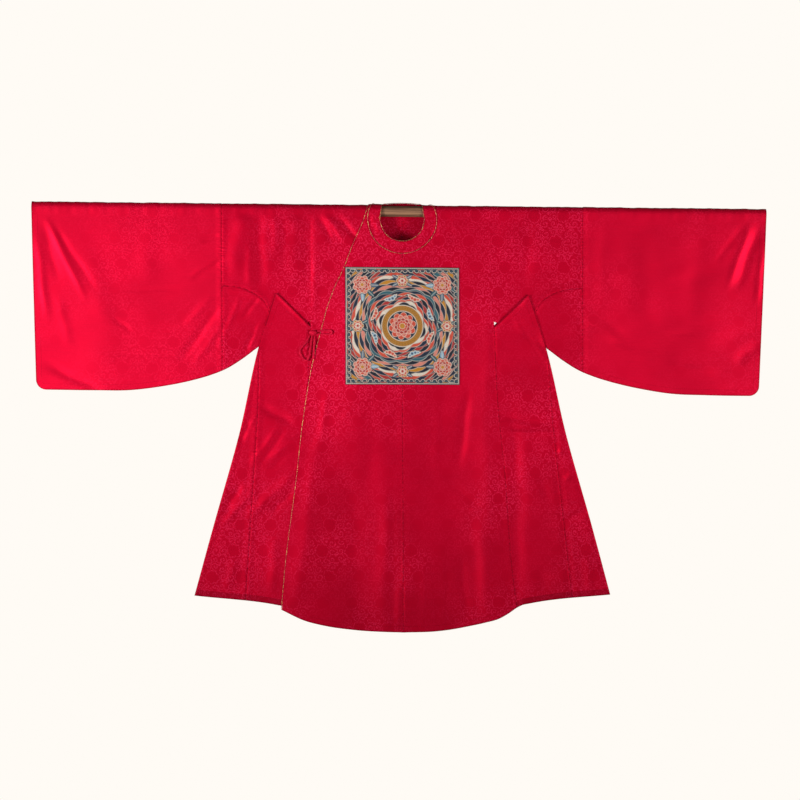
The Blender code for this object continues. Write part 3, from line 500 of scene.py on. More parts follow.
def place(x, s, lift):
    """Where the cloth's point at x, s lies, with its outer face lifted from the base layer's."""
    x, s, lift = np.broadcast_arrays(*(np.asarray(v, float) for v in (x, s, lift)))
    strength = bpy.context.scene.robe_cloth.crease_strength
    drop = drop_of(s)
    angle = np.clip(s / CLOTH_RADIUS, -math.pi / 2, math.pi / 2)
    closed = closedness(x, drop)
    front = folds(FRONT_FOLDS, x, drop) + FRONT_WAVE * unevenness(x, drop, 0.0)
    back = folds(BACK_FOLDS, x, drop) + BACK_WAVE * unevenness(x, drop, 1.7)
    front = front * smooth(*FOLD_EASE, drop) + strength * creases(FRONT_CREASES, x, drop)
    back = back * smooth(*FOLD_EASE, drop) + strength * creases(BACK_CREASES, x, drop)
    ripple = np.where(s > 0, front, back) * smooth(*CREASE_EASE, drop)
    # where front and back touch, a fold can only rise outwards
    rise = np.maximum(ripple, 0.0) * (1.0 - RISE_LOST * closed)
    ripple = rise + np.minimum(ripple, 0.0) * (1.0 - closed)
    together = strength * creases(SHARED_CREASES, x, drop) + SHARED_WAVE * unevenness(x, drop, 3.1)
    together = together * smooth(*SHARED_EASE, drop)
    # over the rod the waves are shorter along it and longer round it
    rumple = ROD_WAVE * (1.0 + unevenness(4.0 * x, 0.3 * s, 2.3))
    lift = lift + rumple * (1.0 - smooth(*ROD_EASE, drop))
    depth = CLOTH_RADIUS * (1.0 - closed) + CLOSED_DEPTH * closed + ripple + lift
    round_rod = CLOTH_RADIUS + lift
    y = np.where(drop > 0, -np.sign(s) * depth - together, -round_rod * np.sin(angle))
    z = np.where(drop > 0, -drop, round_rod * np.cos(angle))
    return hang(np.stack([x, y, z], axis=-1))


def hang(points):
    """Let the cloth below the rod swing to plumb: it moves to +X and turns a little."""
    x, y, z = points[..., 0], points[..., 1], points[..., 2]
    drop = np.maximum(-z, 0.0)
    grip = 1.0 - GRIP_SHARE * smooth(*GRIP_SPAN, np.abs(x))
    return np.stack([x + LEAN * drop * grip, y, z + RISE * grip * x * drop / HEM_DROP], axis=-1)


def drop_of(s):
    """Drop below the side of the rod at cloth length s."""
    return np.maximum(np.abs(s) - ROD_ARC, 0.0)


def outer_lift(x, drop):
    """Lift of the outer front: a layer up over the inner front, easing down to the left side."""
    past_middle = smooth(*MIDDLE_EASE, x)
    above_neck_foot = 1.0 - smooth(*NECK_EASE, drop)
    return LAYER * (1.0 - past_middle * above_neck_foot) * (1.0 - smooth(*SIDE_EASE, x))


def wing_lift(x, s):
    """The wing's free top lies over the body and the gusset, and its slanting edge curls outwards."""
    drop = drop_of(s)
    half = np.abs(x)
    over_sleeve = 1.0 - smooth(*WING_EASE, drop)
    off_seam = smooth(*SEAM_EASE, half - read(SIDE_SEAM, drop))
    foot = SLIT_FOOT["front"]["left"]
    run, fall = WING_TOP[0] - ARMPIT_X, foot - WING_TOP[1]
    from_slit = ((half - ARMPIT_X) * fall - (foot - drop) * run) / math.hypot(run, fall)
    from_edge = read(WING_EDGE, drop) - half
    curl = SLIT_CURL_HEIGHT * (1.0 - smooth(*SLIT_CURL, from_slit))
    curl = curl + EDGE_CURL_HEIGHT * (1.0 - smooth(*EDGE_CURL, from_edge))
    return (LAYER + curl) * over_sleeve * off_seam


def unit(vectors):
    """Each vector divided by its length."""
    return vectors / np.maximum(np.linalg.norm(vectors, axis=-1, keepdims=True), 1e-12)


def shares(length, step, fine=0.0015):
    """Even shares of a length at this step, with two finer ones at each end for the seam's dip."""
    even = np.linspace(0.0, 1.0, max(3, int(round(length / step)) + 1))
    near = np.array([fine, 2.6 * fine]) / length
    return np.unique(np.concatenate([even, near, 1.0 - near]))


def lengths_along(path):
    """The length travelled along a path at each of its points."""
    return np.concatenate([[0.0], np.cumsum(np.linalg.norm(np.diff(path, axis=0), axis=1))])


def resample(path, step):
    """Points along a path at even steps of its length."""
    path = np.asarray(path, float)
    travelled = lengths_along(path)
    even = np.linspace(0.0, travelled[-1], max(2, int(round(travelled[-1] / step)) + 1))
    return np.stack([np.interp(even, travelled, column) for column in path.T], axis=-1)


def refine(points, count, axis=0):
    """A smooth cubic curve through rows of points along an axis, at count even steps."""
    points = np.moveaxis(np.asarray(points, float), axis, 0)
    t = np.linspace(0.0, len(points) - 1.0, count)
    i = np.minimum(t.astype(int), len(points) - 2)
    f = (t - i).reshape(-1, *[1] * (points.ndim - 1))
    a, b = points[i], points[i + 1]
    before, after = points[np.maximum(i - 1, 0)], points[np.minimum(i + 2, len(points) - 1)]
    bend = (b - before) * f + (2 * before - 5 * a + 4 * b - after) * f**2
    made = a + 0.5 * (bend + (3 * a - before - 3 * b + after) * f**3)
    return np.moveaxis(made, 0, axis)


def grid_faces(index):
    """Four-sided faces between the points of a grid of indices."""
    corners = (index[:-1, :-1], index[1:, :-1], index[1:, 1:], index[:-1, 1:])
    return np.stack([corner.ravel() for corner in corners], axis=-1)


def join(patches):
    """Points and four-sided faces of several grids, merged where their flat points meet."""
    points = np.concatenate([patch.reshape(-1, patch.shape[-1]) for patch in patches])
    faces, start = [], 0
    for patch in patches:
        index = start + np.arange(patch.shape[0] * patch.shape[1]).reshape(patch.shape[:2])
        faces.append(grid_faces(index))
        start += index.size
    keys = np.round(points[:, :2] * 1e6).astype(np.int64)
    first, merged = np.unique(keys, axis=0, return_index=True, return_inverse=True)[1:]
    return points[first], merged.ravel()[np.concatenate(faces)]


def wall(outer, inner, faces):
    """A closed wall: the outer face, the inner face turned round, and a rim along free edges."""
    n = len(outer)
    sides = faces[:, [0, 1, 1, 2, 2, 3, 3, 0]].reshape(-1, 2)
    free = ~np.isin(sides[:, 0] * n + sides[:, 1], sides[:, 1] * n + sides[:, 0])
    a, b = sides[free].T
    rim = np.stack([b, a, a + n, b + n], axis=-1)
    return np.concatenate([outer, inner]), np.concatenate([faces, faces[:, ::-1] + n, rim])


def sew(name, patches, lift, finish, replaced):
    """A cloth piece from grids whose points hold x, s, seam distance, hem distance and band."""
    settings = bpy.context.scene.robe_cloth
    flat, faces = join(patches)
    x, s, seam, hem, band = flat.T
    dip = settings.seam_dip * (1.0 - smooth(0.0, SEAM_DIP_WIDTH, seam))
    outer = lift(x, s) - dip
    points, closed = wall(place(x, s, outer), place(x, s, outer - WALL), faces)
    twice = {"flat": flat[:, :2], "seam": seam, "hem": hem, "band": band}
    twice = {key: np.concatenate([value, value]) for key, value in twice.items()}
    piece = add_piece(name, points, closed.tolist(), finish, replaced, "silk_damask", twice)
    a, b, c, d = (flat[faces[:, k], :2] for k in range(4))
    across, along = c - a, d - b
    area = 0.5 * float(np.abs(across[:, 0] * along[:, 1] - across[:, 1] * along[:, 0]).sum())
    middle = flat[:, :2] - flat[:, :2].mean(axis=0)
    size = np.ptp(middle @ np.linalg.svd(middle, full_matrices=False)[2].T, axis=0)
    area = min(area, float(size[0] * size[1]))


def patch_of(x, s, sign, seam, hem=None, band=None):
    """One grid of flat points with its distances, mirrored to its side."""
    fill = np.zeros(np.broadcast(x, s).shape)
    hem = fill + (FAR if hem is None else hem)
    band = fill + (0.0 if band is None else band)
    return np.stack([fill + x * sign, fill + s, fill + seam, hem, band], axis=-1)


def neck_half(s):
    """Half-width of the neck opening at cloth length s, zero past its ends."""
    back = NECK_CENTRE + NECK_BACK
    reach = np.where(s > NECK_CENTRE, NECK_RADIUS, back)
    return NECK_RADIUS * np.sqrt(np.maximum(1.0 - ((s - NECK_CENTRE) / reach) ** 2, 0.0))


def neck_levels(step):
    """Drops down the front to the armpit, finer in the neck's round foot."""
    angles = np.radians(np.linspace(90.0, 0.0, 22))
    round_foot = NECK_CENTRE - ROD_ARC + NECK_RADIUS * np.cos(angles)
    below = np.linspace(round_foot[-1], ARMPIT_DROP, int((ARMPIT_DROP - round_foot[-1]) / step))[1:]
    return np.concatenate([[0.0, 0.008, 0.016], round_foot, below])


def hem_shares(step):
    """Shares of the drop from armpit to hem, finer at the hem's fold."""
    length = HEM_DROP - ARMPIT_DROP
    even = np.linspace(0.0, 1.0, int(length / step) + 1)
    return np.unique(np.concatenate([even, 1.0 - np.array([0.002, 0.005, 0.010]) / length]))[1:]


def row_table(front):
    """Rows of a body panel from the rod down: the drops to the armpit, and the shares below it."""
    settings = bpy.context.scene.robe_cloth
    step = settings.front_step if front else settings.back_step
    if front:
        return neck_levels(step), hem_shares(step)
    reach = NECK_BACK - ROD_ARC
    angles = np.radians(np.linspace(0.0, 90.0, 7))
    curve = reach * np.sin(angles)
    below = np.linspace(reach, ARMPIT_DROP, int(ARMPIT_DROP / step))[1:]
    return np.concatenate([curve, below]), hem_shares(step)


def body_patches(side):
    """Grids of a body panel: rows run from the front hem over the rod to the back hem."""
    settings = bpy.context.scene.robe_cloth
    sign = SIDES[side]
    u = shares(ARMPIT_X, settings.front_step)
    # half-width and foot of the shoulder's columns: along the sleeve's bottom, then up the gusset
    before_gusset = [(h, float(read(SLEEVE_BOTTOM, h))) for h in (ARMPIT_X, 0.302, 0.320, 0.338, 0.357)]
    curve = resample(refine(GUSSET_CURVE, 60), settings.front_step)
    curve[:, 0] = np.minimum(curve[:, 0], SLEEVE_SEAM_X - SEAM_LAP)
    shoulder = np.concatenate([before_gusset, resample([before_gusset[-1], curve[0]], 0.006)[1:-1], curve])
    near = [SLEEVE_SEAM_X - SEAM_LAP - gap for gap in LAST_COLUMNS]
    kept = shoulder[shoulder[:, 0] < near[0] - 0.001]
    shoulder = np.concatenate([kept, [(h, LAST_COLUMNS_FOOT) for h in near], curve[-1:]])
    columns_x, foot = shoulder.T
    middle, outer = {}, {}
    for layer, surface in SURFACES.items():
        drops, below = row_table(surface > 0)
        s = surface * (ROD_ARC + drops)[:, None]
        start = neck_half(s) + SEAM_LAP
        x = start + (ARMPIT_X - start) * u
        seam = np.where(neck_half(s) > 0.0, FAR, np.abs(x)) + 0.0 * x
        upper = patch_of(x, s, sign, seam)
        share = below[:, None]
        side_x = ARMPIT_X + 0.0 * share
        for _ in range(ROUNDS):
            side_x = read(SIDE_SEAM, ARMPIT_DROP + (read(HEM, side_x) - ARMPIT_DROP) * share)
        x = SEAM_LAP + (side_x - SEAM_LAP - SEAM_LAP) * u
        shorter = INNER_HEM_SHORTER if surface > 0 and side == "right" else 0.0
        hem = read(HEM, x) - shorter * (1.0 - u)
        drop = ARMPIT_DROP + (hem - ARMPIT_DROP) * share
        seam = np.minimum(np.abs(x), side_x - x)
        lower = patch_of(x, surface * (ROD_ARC + drop), sign, seam, hem - drop)
        middle[layer] = np.concatenate([upper, lower])
        down = (drops / ARMPIT_DROP)[:, None]
        fall = foot * down
        to_curve = np.where(columns_x > GUSSET_CURVE[0][0] - 0.004, (foot - fall) * SLANT_SHARE, FAR)
        seam = np.minimum(SLEEVE_SEAM_X - columns_x, to_curve)
        outer[layer] = patch_of(columns_x, surface * (ROD_ARC + fall), sign, seam)
    s = ROD_ARC * np.linspace(1.0, -1.0, 17)[1:-1, None]
    start = neck_half(s) + SEAM_LAP
    over_middle = patch_of(start + (ARMPIT_X - start) * u, s, sign, FAR)
    over_outer = patch_of(columns_x, s, sign, SLEEVE_SEAM_X - columns_x)
    made = []
    for part, over in ((middle, over_middle), (outer, over_outer)):
        made.append(np.concatenate([part["front"][::-1], over, part["back"]]))
    return made


def overlap_patch():
    """Grid of the outer front: rows from the rod's top down to the hem, columns out to the slant."""
    settings = bpy.context.scene.robe_cloth
    drops, below = row_table(True)
    top = np.concatenate([ROD_ARC * np.linspace(0.0, 1.0, 9)[:-1], ROD_ARC + drops])[:, None]
    u = shares(OVERLAP_WIDTH, settings.front_step)
    start = neck_half(top) + SEAM_LAP
    x = start + (read(OVERLAP_EDGE, top) - start) * u
    seam = np.where(neck_half(top) > 0.0, FAR, x) + 0.0 * x
    upper = patch_of(x, top, -1.0, seam)
    share = below[:, None]
    edge = 0.3 + 0.0 * share
    for _ in range(ROUNDS):
        drop = ARMPIT_DROP + (read(OVERLAP_HEM, edge) - ARMPIT_DROP) * share
        edge = read(OVERLAP_EDGE, ROD_ARC + drop)
    x = SEAM_LAP + (edge - SEAM_LAP) * u
    hem = read(OVERLAP_HEM, x)
    drop = ARMPIT_DROP + (hem - ARMPIT_DROP) * share
    return np.concatenate([upper, patch_of(x, ROD_ARC + drop, -1.0, x, hem - drop)])


def sleeve_patch(side):
    """Grid of a sleeve: rows run from the front's sewn bottom edge over the rod to the back's."""
    settings = bpy.context.scene.robe_cloth
    start = SLEEVE_SEAM_X + SEAM_LAP
    u = shares(CUFF_X[side] - start, settings.front_step)
    depth = SLEEVE_BOTTOM[-1][1]
    parts = []
    for surface in SURFACES.values():
        step = settings.front_step if surface > 0 else settings.back_step
        even = np.linspace(0.0, 1.0, int(depth / step))
        corner_rows = 1.0 - CUFF_CORNER / depth * (1.0 - np.cos(np.radians(np.linspace(0, 90, 9))))
        share = np.unique(np.round(np.concatenate([even, corner_rows]), 4))[:, None]
        rise = np.maximum(0.0, CUFF_CORNER - (1.0 - share) * depth)
        corner = CUFF_CORNER - np.sqrt(np.maximum(CUFF_CORNER**2 - rise**2, 0.0))
        cuff = CUFF_X[side] - CUFF_SLANT * share - corner
        x = start + (cuff - start) * u
        bottom = read(SLEEVE_BOTTOM, x)
        s = surface * (ROD_ARC + bottom * share)
        hem = np.minimum(cuff - x, bottom * (1.0 - share))
        parts.append(patch_of(x, s, SIDES[side], x - start, hem))
    s = ROD_ARC * np.linspace(1.0, -1.0, 17)[1:-1, None]
    x = start + (CUFF_X[side] - start) * u
    over = patch_of(x, s, SIDES[side], x - start, CUFF_X[side] - x)
    return np.concatenate([parts[0][::-1], over, parts[1]])


def gusset_patch(side, surface):
    """Grid of an underarm piece: rows run from the curved seam down to the sewn bottom edge."""
    settings = bpy.context.scene.robe_cloth
    curve = resample(refine(GUSSET_CURVE, 60), settings.front_step)
    curve = curve[curve[:, 1] < GUSSET_START]
    tangent = unit(np.gradient(curve, axis=0))
    top = curve + 2 * SEAM_LAP * np.stack([-tangent[:, 1], tangent[:, 0]], axis=-1)
    top[:, 0] = np.minimum(top[:, 0], SLEEVE_SEAM_X - SEAM_LAP)
    bottom = read(SLEEVE_BOTTOM, top[:, 0])
    share = shares(GUSSET_WIDTH, settings.front_step)[:, None]
    drop = top[:, 1] + (bottom - top[:, 1]) * share
    seam = np.minimum((drop - top[:, 1]) * SLANT_SHARE, SLEEVE_SEAM_X - top[:, 0])
    hem = bottom - drop
    return patch_of(top[:, 0], SURFACES[surface] * (ROD_ARC + drop), SIDES[side], seam, hem)


def wing_rows(inner_edge, outer_edge, inner_drops, outer_drops, u, at_hem):
    """Rows between two seams: x, drop and each row's two ends. The last ones bend to the hem."""
    start, end = inner_drops, outer_drops
    for _ in range(ROUNDS):
        first = read(inner_edge, start) + SEAM_LAP
        last = read(outer_edge, end) - SEAM_LAP
        x = first + (last - first) * u
        drop = inner_drops + (outer_drops - inner_drops) * u
        drop = drop + (read(HEM, x) - drop) * at_hem
        start, end = drop[:, :1], drop[:, -1:]
    return x, drop, first, last


def gore_drops(side, share):
    """Drops at the body's seam, at the gore's seam and the gore's share, for a share of the wing."""
    body_hem = float(read(HEM, SIDE_SEAM[-1][1]))
    start, seam_hem = GORE_SEAM[side][0][0], float(read(HEM, GORE_SEAM[side][-1][1]))
    gore_share = (share - WING_FIRST_SHARE) / (1.0 - WING_FIRST_SHARE)
    at_body = ARMPIT_DROP + (body_hem - ARMPIT_DROP) * share
    return at_body, start + (seam_hem - start) * gore_share, gore_share


def wing_shares(step):
    """Shares of the wing from its first full row to the hem, finer at the hem's fold."""
    even = np.linspace(WING_FIRST_SHARE, 1.0, int(WING_LENGTH / step))
    at_fold = 1.0 - np.array([0.002, 0.006, 0.012, 0.018, 0.024]) / WING_LENGTH
    return np.unique(np.concatenate([even, at_fold]))[:, None]


def panel_patch(side, surface):
    """Grid of a side panel: a free slanting top, then sewn to the body and the gore to the hem."""
    settings = bpy.context.scene.robe_cloth
    step = settings.front_step if surface == "front" else settings.back_step
    u = shares(PANEL_WIDTH, step)
    top_x, top_drop = WING_TOP
    foot = SLIT_FOOT[surface][side]
    drops = np.linspace(top_drop + PANEL_TOP_GAP, foot, int(SLIT_FALL / step))[:, None]
    foot_x = float(read(SIDE_SEAM, foot)) + SEAM_LAP
    slit_x = top_x + (foot_x - top_x) * (drops - top_drop) / (foot - top_drop)
    edge_x = read(WING_EDGE, drops) - SEAM_LAP
    x = slit_x + (edge_x - slit_x) * u
    free = np.minimum(edge_x - x, (x - slit_x) * SLIT_SLANT_SHARE)
    parts = [patch_of(x, ROD_ARC + drops, 1.0, FAR, free)]
    first_body, first_gore = gore_drops(side, WING_FIRST_SHARE)[:2]
    rows = np.linspace(0.0, 1.0, 15)[1:-1, None]
    ends = (foot + (first_body - foot) * rows, foot + (first_gore - foot) * rows)
    x, drop, first, last = wing_rows(SIDE_SEAM, WING_EDGE, *ends, u, 0.0)
    parts.append(patch_of(x, ROD_ARC + drop, 1.0, np.minimum(x - first, last - x)))
    at_body, at_gore, gore_share = gore_drops(side, wing_shares(step))
    at_hem = gore_share**HEM_BEND
    x, drop, first, last = wing_rows(SIDE_SEAM, GORE_SEAM[side], at_body, at_gore, u, at_hem)
    hem = read(HEM, x) - drop
    parts.append(patch_of(x, ROD_ARC + drop, 1.0, np.minimum(x - first, last - x), hem, hem_band(hem)))
    return np.concatenate(parts) * (SIDES[side], SURFACES[surface], 1.0, 1.0, 1.0)


def gore_patch(side, surface):
    """Grid of a side gore: from a narrow top between panel and sewn outer edge down to the hem."""
    settings = bpy.context.scene.robe_cloth
    step = settings.front_step if surface == "front" else settings.back_step
    share = np.concatenate([[[WING_FIRST_SHARE + 0.001]], wing_shares(step)[1:]])
    at_gore, gore_share = gore_drops(side, share)[1:]
    start = GORE_SEAM[side][0][0]
    at_edge = start + (WING_EDGE[-1][0] - start) * gore_share
    u, at_hem = shares(GORE_WIDTH, step), gore_share**HEM_BEND
    x, drop, first, last = wing_rows(GORE_SEAM[side], WING_EDGE, at_gore, at_edge, u, at_hem)
    hem = read(HEM, x) - drop
    seam = np.minimum(x - first, last - x)
    made = patch_of(x, ROD_ARC + drop, 1.0, seam, np.minimum(hem, FAR), hem_band(hem))
    return made * (SIDES[side], SURFACES[surface], 1.0, 1.0, 1.0)


def hem_band(hem):
    """The wing's turned-up hem: 1 over its lowest 20 mm, with a soft upper edge."""
    return 1.0 - smooth(*HEM_TURN, hem)


def keep_off_rod(points):
    """Push points that lie too near the rod's axis out to the cloth's inner radius."""
    radius = np.hypot(points[:, 1], points[:, 2])
    scale = np.maximum(1.0, (CLOTH_RADIUS - WALL + COLLAR_CLEAR) / np.maximum(radius, 1e-6))
    return np.stack([points[:, 0], points[:, 1] * scale, points[:, 2] * scale], axis=-1)


def collar_station(side, s, free, raised):
    """Points across the band, from its seam to its free edge, on the rod's side, and its lift."""
    sign = SIDES[side]
    gap = COLLAR_BACK_GAP if s < 0 else SEAM_LAP
    seam_x = max(float(neck_half(np.array(s))) - gap, 0.0)
    rise = COLLAR_BACK_RISE if s < -ROD_ARC else 0.0
    share = np.linspace(0.0, 1.0, 5)
    if free is None:
        radius = NECK_RADIUS + (COLLAR_INNER - NECK_RADIUS) * share
        along = NECK_CENTRE + radius * (s - NECK_CENTRE) / NECK_RADIUS
        return place(sign * radius * seam_x / NECK_RADIUS, along, COLLAR_CLEAR - WALL), raised
    seam = place(sign * seam_x, s + rise, COLLAR_CLEAR - WALL)
    edge = np.array([sign * free[0], free[1], free[2]])
    return keep_off_rod(seam + (edge - seam) * share[:, None]), raised


def collar_quarter(side, raised, end_angle):
    """Stations from the neck's foot up one side and over the rod to this angle round it."""
    levels = [NECK_CENTRE + NECK_RADIUS * math.cos(math.radians(a)) for a in NECK_ANGLES]
    stations = [collar_station(side, s, None, raised) for s in levels]
    frees = {angle: place(x, s, COLLAR_CLEAR - WALL) for angle, x, s in COLLAR_OVER_ROD}
    for angle in (90.0, 67.5, 45.0, 22.5):
        stations.append(collar_station(side, ROD_ARC * angle / 90.0, frees.get(angle), raised))
    for angle, *free in COLLAR_STAND:
        if angle >= end_angle:
            stations.append(collar_station(side, ROD_ARC * angle / 90.0, free, raised))
    return stations


def collar_band():
    """Inner and outer grids of the whole band, its outward directions and its visible stations."""
    outer_right = collar_quarter("right", LAYER, 0.0)[::-1]
    left = collar_quarter("left", None, -90.0)[1:]
    back_left = [collar_station("left", s, free, 0.0) for s, *free in COLLAR_BACK]
    back_right = [collar_station("right", s, free, 0.0) for s, *free in COLLAR_BACK[-2::-1]]
    inner_right = collar_quarter("right", 0.0, -90.0)[::-1]
    stations = outer_right + left + back_left + back_right + inner_right
    visible = len(outer_right) + len(left) + len(back_left) + len(back_right) + PIPING_PAST
    base = np.array([points for points, raised in stations])
    outward = unit(np.cross(np.gradient(base, axis=1), np.gradient(base, axis=0)))
    seam = base[:, 0]
    eased = outer_lift(seam[:, 0], np.maximum(-seam[:, 2], 0.0)) * ((seam[:, 1] < 0) & (seam[:, 2] < 0))
    raised = np.array([e if r is None else r for e, (points, r) in zip(eased, stations)])
    if outward[FRONT_STATION, 0, 1] > 0:
        outward = -outward
    return base, outward, raised, visible


def cord_along(centres, outward, radius, twist):
    """A two-ply cord: a round tube whose section has two lobes that turn along the path."""
    tangent = unit(np.gradient(centres, axis=0))
    sideways = unit(np.cross(tangent, outward))
    outward = unit(np.cross(sideways, tangent))
    travelled = lengths_along(centres)
    turns = np.arange(10) * 2 * math.pi / 10
    lobes = 0.84 + 0.16 * np.cos(2.0 * (turns - travelled[:, None] * 2 * math.pi / twist))
    ring = np.cos(turns)[:, None] * sideways[:, None] + np.sin(turns)[:, None] * outward[:, None]
    points = (centres[:, None] + radius * lobes[..., None] * ring).reshape(-1, 3)
    flat = np.stack([np.repeat(travelled, 10), np.tile(turns / (2 * math.pi), len(centres))], axis=-1)
    return tube(points, flat, len(centres), 10)


def tube(points, flat, rows, around):
    """Faces of rings joined into a tube, with each end closed on a point in its middle."""
    index = np.arange(rows * around).reshape(rows, around)
    beside = np.roll(index, -1, axis=1)
    faces = np.stack([index[:-1], beside[:-1], beside[1:], index[1:]], axis=-1).reshape(-1, 4)
    caps = np.array([points[index[0]].mean(axis=0), points[index[-1]].mean(axis=0)])
    first, last = rows * around, rows * around + 1
    start = np.stack([beside[0], index[0], np.full(around, first), np.full(around, first)], axis=-1)
    end = np.stack([index[-1], beside[-1], np.full(around, last), np.full(around, last)], axis=-1)
    flat = np.concatenate([flat, flat[[0, -1]]])
    faces = faces.tolist() + np.concatenate([start, end])[:, :3].tolist()
    return np.concatenate([points, caps]), faces, {"flat": flat}


def hex_colour(code):
    """Linear red, green, blue and 1 from an sRGB hex code."""
    parts = np.array([int(code[i : i + 2], 16) for i in (1, 3, 5)]) / 255.0
    linear = np.where(parts <= 0.04045, parts / 12.92, ((parts + 0.055) / 1.055) ** 2.4)
    return (*linear.tolist(), 1.0)


def add(tree, kind, inputs=(), output=0, **settings):
    """Add a node, set its properties, fill or link its inputs, and give back one of its outputs."""
    made = tree.nodes.new(kind)
    for key, value in settings.items():
        setattr(made, key, value)
    pairs = inputs.items() if isinstance(inputs, dict) else enumerate(inputs)
    for key, value in pairs:
        if isinstance(value, bpy.types.NodeSocket):
            tree.links.new(value, made.inputs[key])
        elif value is not None:
            made.inputs[key].default_value = value
    return made.outputs[output] if made.outputs else None


def calc(tree, operation, *values):
    """The output of one Math node."""
    return add(tree, "ShaderNodeMath", values, operation=operation)


def new_material(name):
    """A material with an empty tree, and its tree."""
    made = bpy.data.materials.new(name)
    made.use_nodes = True
    made.node_tree.nodes.clear()
    return made, made.node_tree


def damask_figure(tree, flat):
    """The woven figure: plain discs in staggered rows within a curling vine, 0 ground, 1 figure.

    The repeat is 91 mm wide and 80 mm high, and every other row moves a quarter of a repeat. Half
    of it is drawn and mirrored. A curl is a spiral, where radius less turns is near a whole number
    of pitches. A leaf is an ellipse. The stem round each disc is a lobed ring.
    """
    # hand weaving lets the figure waver by some 3 mm
    wide = add(tree, "ShaderNodeMapping", {"Vector": flat, "Scale": (34.0, 34.0, 1.0)})
    waver = add(tree, "ShaderNodeTexNoise", {"Vector": wide, "Scale": 1.0, "Detail": 2.0}, "Color")
    waver = add(tree, "ShaderNodeVectorMath", (waver, (0.5, 0.5, 0.5)), operation="SUBTRACT")
    moved = add(tree, "ShaderNodeVectorMath", (waver, (0.019, 0.019, 0.0), flat), operation="MULTIPLY_ADD")
    split = add(tree, "ShaderNodeSeparateXYZ", (moved,)).node
    row = calc(tree, "DIVIDE", split.outputs["Y"], 0.080)
    stagger = calc(tree, "PINGPONG", calc(tree, "FLOOR", row), 1.0)
    column = calc(tree, "DIVIDE", split.outputs["X"], 0.091)
    column = calc(tree, "MULTIPLY_ADD", stagger, 0.25, column)
    x = calc(tree, "MULTIPLY", calc(tree, "SUBTRACT", calc(tree, "FRACT", column), 0.5), 91.0)
    y = calc(tree, "MULTIPLY", calc(tree, "SUBTRACT", calc(tree, "FRACT", row), 0.5), 80.0)
    whole = add(tree, "ShaderNodeCombineXYZ", (x, y, 0.0))
    half = add(tree, "ShaderNodeCombineXYZ", (calc(tree, "ABSOLUTE", x), y, 0.0))
    radius = add(tree, "ShaderNodeVectorMath", (whole,), "Value", operation="LENGTH")
    turn = add(tree, "ShaderNodeTexGradient", (whole,), "Fac", gradient_type="RADIAL")
    lobes = calc(tree, "ABSOLUTE", calc(tree, "SINE", calc(tree, "MULTIPLY", turn, 10 * math.pi)))
    edge = calc(tree, "MULTIPLY_ADD", lobes, 3.0, 16.5)
    figure = ring(tree, radius, calc(tree, "ADD", edge, 2.0), 1.5)
    for curl_x, curl_y, reach, pitch, hand, start in CURLS:
        centre = add(tree, "ShaderNodeVectorMath", (half, (curl_x, curl_y, 0.0)), operation="SUBTRACT")
        out = add(tree, "ShaderNodeVectorMath", (centre,), "Value", operation="LENGTH")
        around = add(tree, "ShaderNodeTexGradient", (centre,), "Fac", gradient_type="RADIAL")
        wound = calc(tree, "MULTIPLY_ADD", around, hand, start)
        phase = calc(tree, "MULTIPLY_ADD", out, 1.0 / pitch, wound)
        band = calc(tree, "LESS_THAN", calc(tree, "PINGPONG", phase, 0.5), 0.23)
        curl = calc(tree, "MULTIPLY", band, calc(tree, "LESS_THAN", out, reach))
        figure = calc(tree, "MAXIMUM", figure, curl)
    for leaf_x, leaf_y, length, width, degrees in LEAVES:
        place_leaf = {
            "Vector": half,
            "Location": (leaf_x, leaf_y, 0.0),
            "Rotation": (0.0, 0.0, math.radians(degrees)),
            "Scale": (length, width, 1.0),
        }
        local = add(tree, "ShaderNodeMapping", place_leaf, vector_type="TEXTURE")
        out = add(tree, "ShaderNodeVectorMath", (local,), "Value", operation="LENGTH")
        figure = calc(tree, "MAXIMUM", figure, calc(tree, "LESS_THAN", out, 1.0))
    return calc(tree, "MULTIPLY", figure, calc(tree, "GREATER_THAN", radius, edge))


def ring(tree, radius, middle, half_width):
    """1 where the radius is within half_width of the middle radius, else 0."""
    return add(tree, "ShaderNodeMath", (radius, middle, half_width), operation="COMPARE")


